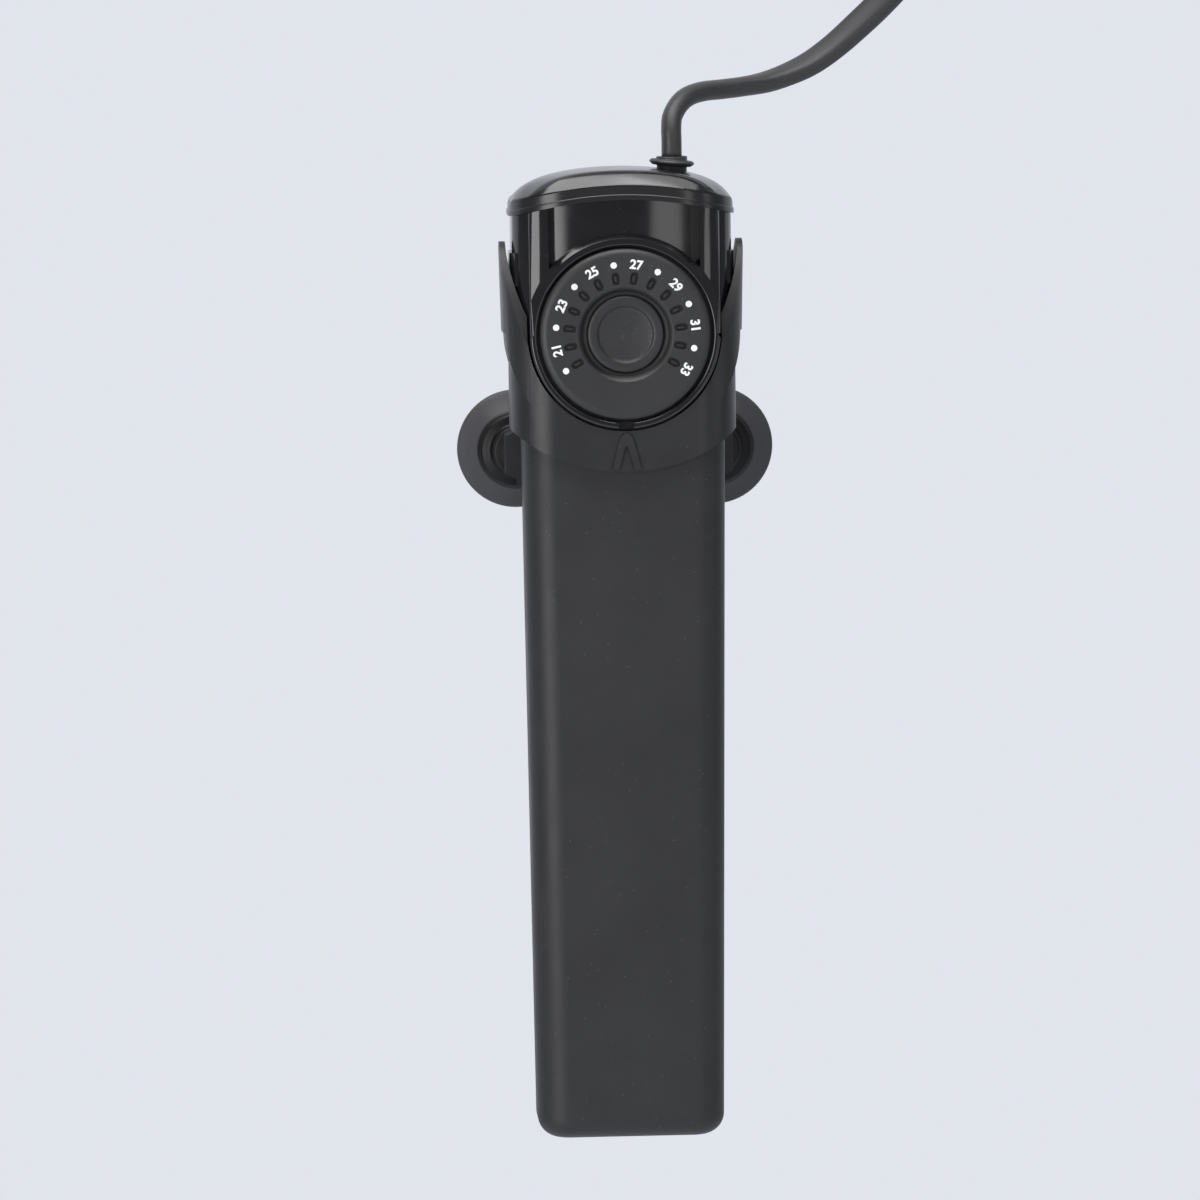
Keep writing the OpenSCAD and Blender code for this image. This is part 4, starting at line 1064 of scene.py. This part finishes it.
# %% Make the cap's upright edge duller than its polished top
EDGE_RING = [(0.0831, 0.0828), (0, 0.001)]
EDGE_ROUGHNESS = 0.28
tree = cap_black.node_tree
rough = tree.nodes["Principled BSDF"].inputs["Roughness"]
edge = ring_mask(tree, (0, 0, ARCH_CENTRE / 1000), EDGE_RING)
dull = tree.nodes.new("ShaderNodeMix")
dull.inputs["B"].default_value = EDGE_ROUGHNESS
tree.links.new(rough.links[0].from_socket, dull.inputs["A"])
tree.links.new(edge, dull.inputs["Factor"])
tree.links.new(dull.outputs["Result"], rough)
print("cap edge roughness:", EDGE_ROUGHNESS)

# %% [markdown]
# ## What is inside
# The pieces inside keep the shapes of their solids and get plain finishes: metal, ceramic,
# board, silicone and enamel. They only show when the heater is taken apart.


# %% Finishes of the inner pieces and the printed scale
def plain_finish(name, colour, rough, metal=0.0, grain_size=3000, depth=0.2):
    """A finish for the pieces inside: metal, ceramic, board, silicone or enamel."""
    gloss = (rough * 0.85, rough * 1.15)
    made, tree, shader = start_finish(name, grain_size, depth, 200.0, gloss)
    shader.inputs["Metallic"].default_value = metal
    light = [min(1, c * 1.08) for c in colour]
    tint = uneven_colour(tree, 120.0, [c * 0.9 for c in colour], light)
    tree.links.new(tint, shader.inputs["Base Color"])
    return made


scale_white = plain_finish("scale white", (0.78, 0.78, 0.78), 0.5)
STEEL, BRASS = (0.6, 0.61, 0.63), (0.74, 0.58, 0.3)
SILICONE = (0.5, 0.13, 0.09)
inner_looks = {
    "cap_seal": ("seal red", (0.42, 0.07, 0.05), 0.6),
    "spindle_oring": ("ring black", (0.02, 0.02, 0.02), 0.5),
    "cord_inner_end": ("inner cord", (0.02, 0.02, 0.022), 0.5),
    "cable_clamp": ("thermoset", (0.62, 0.58, 0.48), 0.55),
    "thermostat_frame": ("frame thermoset", (0.6, 0.56, 0.46), 0.55),
    "clamp_screws": ("screw steel", STEEL, 0.3, 1.0),
    "lever_pin": ("pin steel", STEEL, 0.25, 1.0),
    "retaining_washer": ("washer steel", STEEL, 0.3, 1.0),
    "thermal_fuse": ("fuse steel", (0.6, 0.6, 0.62), 0.3, 1.0),
    "heater_core": ("fired ceramic", (0.8, 0.77, 0.7), 0.75, 0.0, 2400, 0.5),
    "resistance_winding": ("winding", (0.36, 0.33, 0.3), 0.45, 1.0),
    "foot_cushion": ("foot silicone", SILICONE, 0.6),
    "top_cushion": ("top silicone", SILICONE, 0.6),
    "heat_barrier": ("mica board", (0.62, 0.52, 0.36), 0.5, 0.0, 900, 0.6),
    "bimetal_strip": ("bimetal", (0.58, 0.5, 0.4), 0.3, 1.0),
    "contact_spring": ("spring copper", (0.72, 0.42, 0.26), 0.28, 1.0),
    "contact_points": ("contact silver", (0.82, 0.82, 0.8), 0.2, 1.0),
    "snap_magnet": ("magnet", (0.2, 0.2, 0.21), 0.4, 1.0),
    "suppression_capacitor": ("capacitor film", (0.7, 0.4, 0.05), 0.25),
    "set_lever": ("lever brass", (0.72, 0.55, 0.26), 0.3, 1.0),
    "adjusting_nut": ("nut brass", BRASS, 0.3, 1.0),
    "dial_spindle": ("spindle brass", BRASS, 0.25, 1.0),
    "live_wire": ("live brown", (0.22, 0.09, 0.04), 0.4),
    "neutral_wire": ("neutral blue", (0.05, 0.13, 0.45), 0.4),
}
inner_finish = {node: plain_finish(*look) for node, look in inner_looks.items()}
pin_metal = plain_finish("pin nickel", (0.74, 0.7, 0.58), 0.2, 1.0)
print("inner finishes:", len(inner_finish))

# %% [markdown]
# ## Dress the pieces
# Each line of the table gives a new piece, its finish, the moving body it rides on, a slot name
# for its finish, which nothing reads, and the solids that it stands for, which are hidden. The
# printed scale stands for no solid, because it is only paint.

# %% Give each piece its finish and its body, and hide the solids that it stands for
dressed = [
    (sleeve, sleeve_black, "heater", "sleeve_plastic", ["body_tube"]),
    (head, head_black, "heater", "head_plastic", ["head_housing"]),
    (cap, cap_black, "heater", "cap_plastic", ["top_cap"]),
    (grommet, cord_rubber, "heater", "cord_rubber", ["cord_grommet"]),
    (clip, clip_black, "holder", "clip_plastic", ["holder_clip"]),
    (left_cup, cup_rubber, "left_cup", "cup_rubber", ["left_suction_cup"]),
    (right_cup, cup_rubber, "right_cup", "cup_rubber", ["right_suction_cup"]),
    (dial, dial_black, "dial", "dial_plastic", ["dial_knob"]),
    (scale_marks, scale_white, "dial", "dial_plastic", []),
    (cord, cord_rubber, "heater", "cord_rubber", ["cord_lead", "cord_coil", "cord_tail"]),
    (plug, plug_black, "heater", "plug_plastic", ["plug_body"]),
    (relief, plug_black, "heater", "plug_plastic", ["plug_relief"]),
    (tie, plug_black, "heater", "tie_plastic", ["cord_tie"]),
    (pins, pin_metal, "heater", "pin_brass", ["plug_pins"]),
]
for piece, finish, body, slot, solids in dressed:
    piece.data.materials.clear()
    piece.data.materials.append(finish)
    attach(piece, body)
    if solids:
        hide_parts(*solids)
for node, finish in inner_finish.items():
    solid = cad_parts[node]
    solid.data.materials.clear()
    solid.data.materials.append(finish)
print("dressed pieces:", len(dressed))

# %% [markdown]
# ## Floor, backdrop and light
# The light is that of a plain studio. Two broad lamps hang above, tall soft ones stand to the
# left and the right, and a small one shines from the front and above. Black gloss shows
# little but the lamps that it mirrors, so each lamp was put where a bright line needs it.
# The floor and the backdrop are pale and plain.

# %% Lay the floor and set the backdrop
BACKDROP_COLOUR = (0.755, 0.78, 0.84, 1)
bpy.ops.mesh.primitive_plane_add(size=24, location=(0, 6, -0.62))
floor = bpy.context.object
floor.name = "studio_floor"
pale = bpy.data.materials.new("studio pale")
pale.use_nodes = True
tree = pale.node_tree
surface = tree.nodes["Principled BSDF"]
surface.inputs["Base Color"].default_value = (0.74, 0.76, 0.8, 1)
surface.inputs["Roughness"].default_value = 0.9
plain = tree.nodes.new("ShaderNodeEmission")
plain.inputs["Color"].default_value = BACKDROP_COLOUR
ray = tree.nodes.new("ShaderNodeLightPath")
blend = tree.nodes.new("ShaderNodeMixShader")
tree.links.new(ray.outputs["Is Camera Ray"], blend.inputs["Fac"])
tree.links.new(surface.outputs["BSDF"], blend.inputs[1])
tree.links.new(plain.outputs["Emission"], blend.inputs[2])
tree.links.new(blend.outputs["Shader"], tree.nodes["Material Output"].inputs["Surface"])
floor.data.materials.append(pale)
print("floor at", floor.location.z, "m")

# %% Stand a pale wall behind, which also lights the piece from the back
bpy.ops.mesh.primitive_plane_add(size=16, location=(0, 3, 4), rotation=(math.radians(90), 0, 0))
wall = bpy.context.object
wall.name = "studio_wall"
glow = bpy.data.materials.new("studio glow")
glow.use_nodes = True
tree = glow.node_tree
tree.nodes.remove(tree.nodes["Principled BSDF"])
shine = tree.nodes.new("ShaderNodeEmission")
shine.inputs["Color"].default_value = BACKDROP_COLOUR
tree.links.new(shine.outputs["Emission"], tree.nodes["Material Output"].inputs["Surface"])
wall.data.materials.append(glow)
print("wall at", wall.location.y, "m")

# %% Light the backdrop for the camera and the room for everything else
ROOM_LIGHT = 0.22
world = bpy.data.worlds.new("studio")
bpy.context.scene.world = world
world.use_nodes = True
tree = world.node_tree
tree.nodes.clear()
room = tree.nodes.new("ShaderNodeBackground")
room.inputs["Color"].default_value = (0.96, 0.97, 1.0, 1)
room.inputs["Strength"].default_value = ROOM_LIGHT
backdrop = tree.nodes.new("ShaderNodeBackground")
backdrop.inputs["Color"].default_value = BACKDROP_COLOUR
ray = tree.nodes.new("ShaderNodeLightPath")
blend = tree.nodes.new("ShaderNodeMixShader")
end = tree.nodes.new("ShaderNodeOutputWorld")
tree.links.new(ray.outputs["Is Camera Ray"], blend.inputs["Fac"])
tree.links.new(room.outputs["Background"], blend.inputs[1])
tree.links.new(backdrop.outputs["Background"], blend.inputs[2])
tree.links.new(blend.outputs["Shader"], end.inputs["Surface"])
print("room light:", ROOM_LIGHT)


# %% Hang the lamps
def soft_lamp(name, at, aim, size, power):
    """A rectangular lamp at a place, facing another, with its width, height and watts."""
    bpy.ops.object.light_add(type="AREA", location=at)
    lamp = bpy.context.object
    lamp.name = name
    lamp.data.shape = "RECTANGLE"
    lamp.data.size, lamp.data.size_y = size
    lamp.data.energy = power
    way = Vector(aim) - Vector(at)
    lamp.rotation_euler = way.to_track_quat("-Z", "Y").to_euler()


ORIGIN = (0, 0, 0)
lamps = [
    ("lamp_above", (-0.3, -0.3, 1.3), ORIGIN, (1.2, 1.0), 20),
    ("lamp_above_right", (0.45, -0.15, 1.3), (0.45, -0.1, 0), (0.8, 0.7), 4.4),
    ("lamp_left", (-0.903, -1.198, 0), ORIGIN, (0.8, 1.0), 12.6),
    ("lamp_right", (0.55, -1.395, 0), ORIGIN, (0.34, 1.0), 2.1),
    ("lamp_far_right", (1.324, -0.704, 0), ORIGIN, (0.3, 1.0), 1.2),
    ("lamp_front_top", (0.16, -0.78, 1.1), ORIGIN, (0.5, 0.3), 3),
]
for lamp in lamps:
    soft_lamp(*lamp)
bpy.context.scene.view_settings.view_transform = "Standard"
print("lamps:", len(lamps))
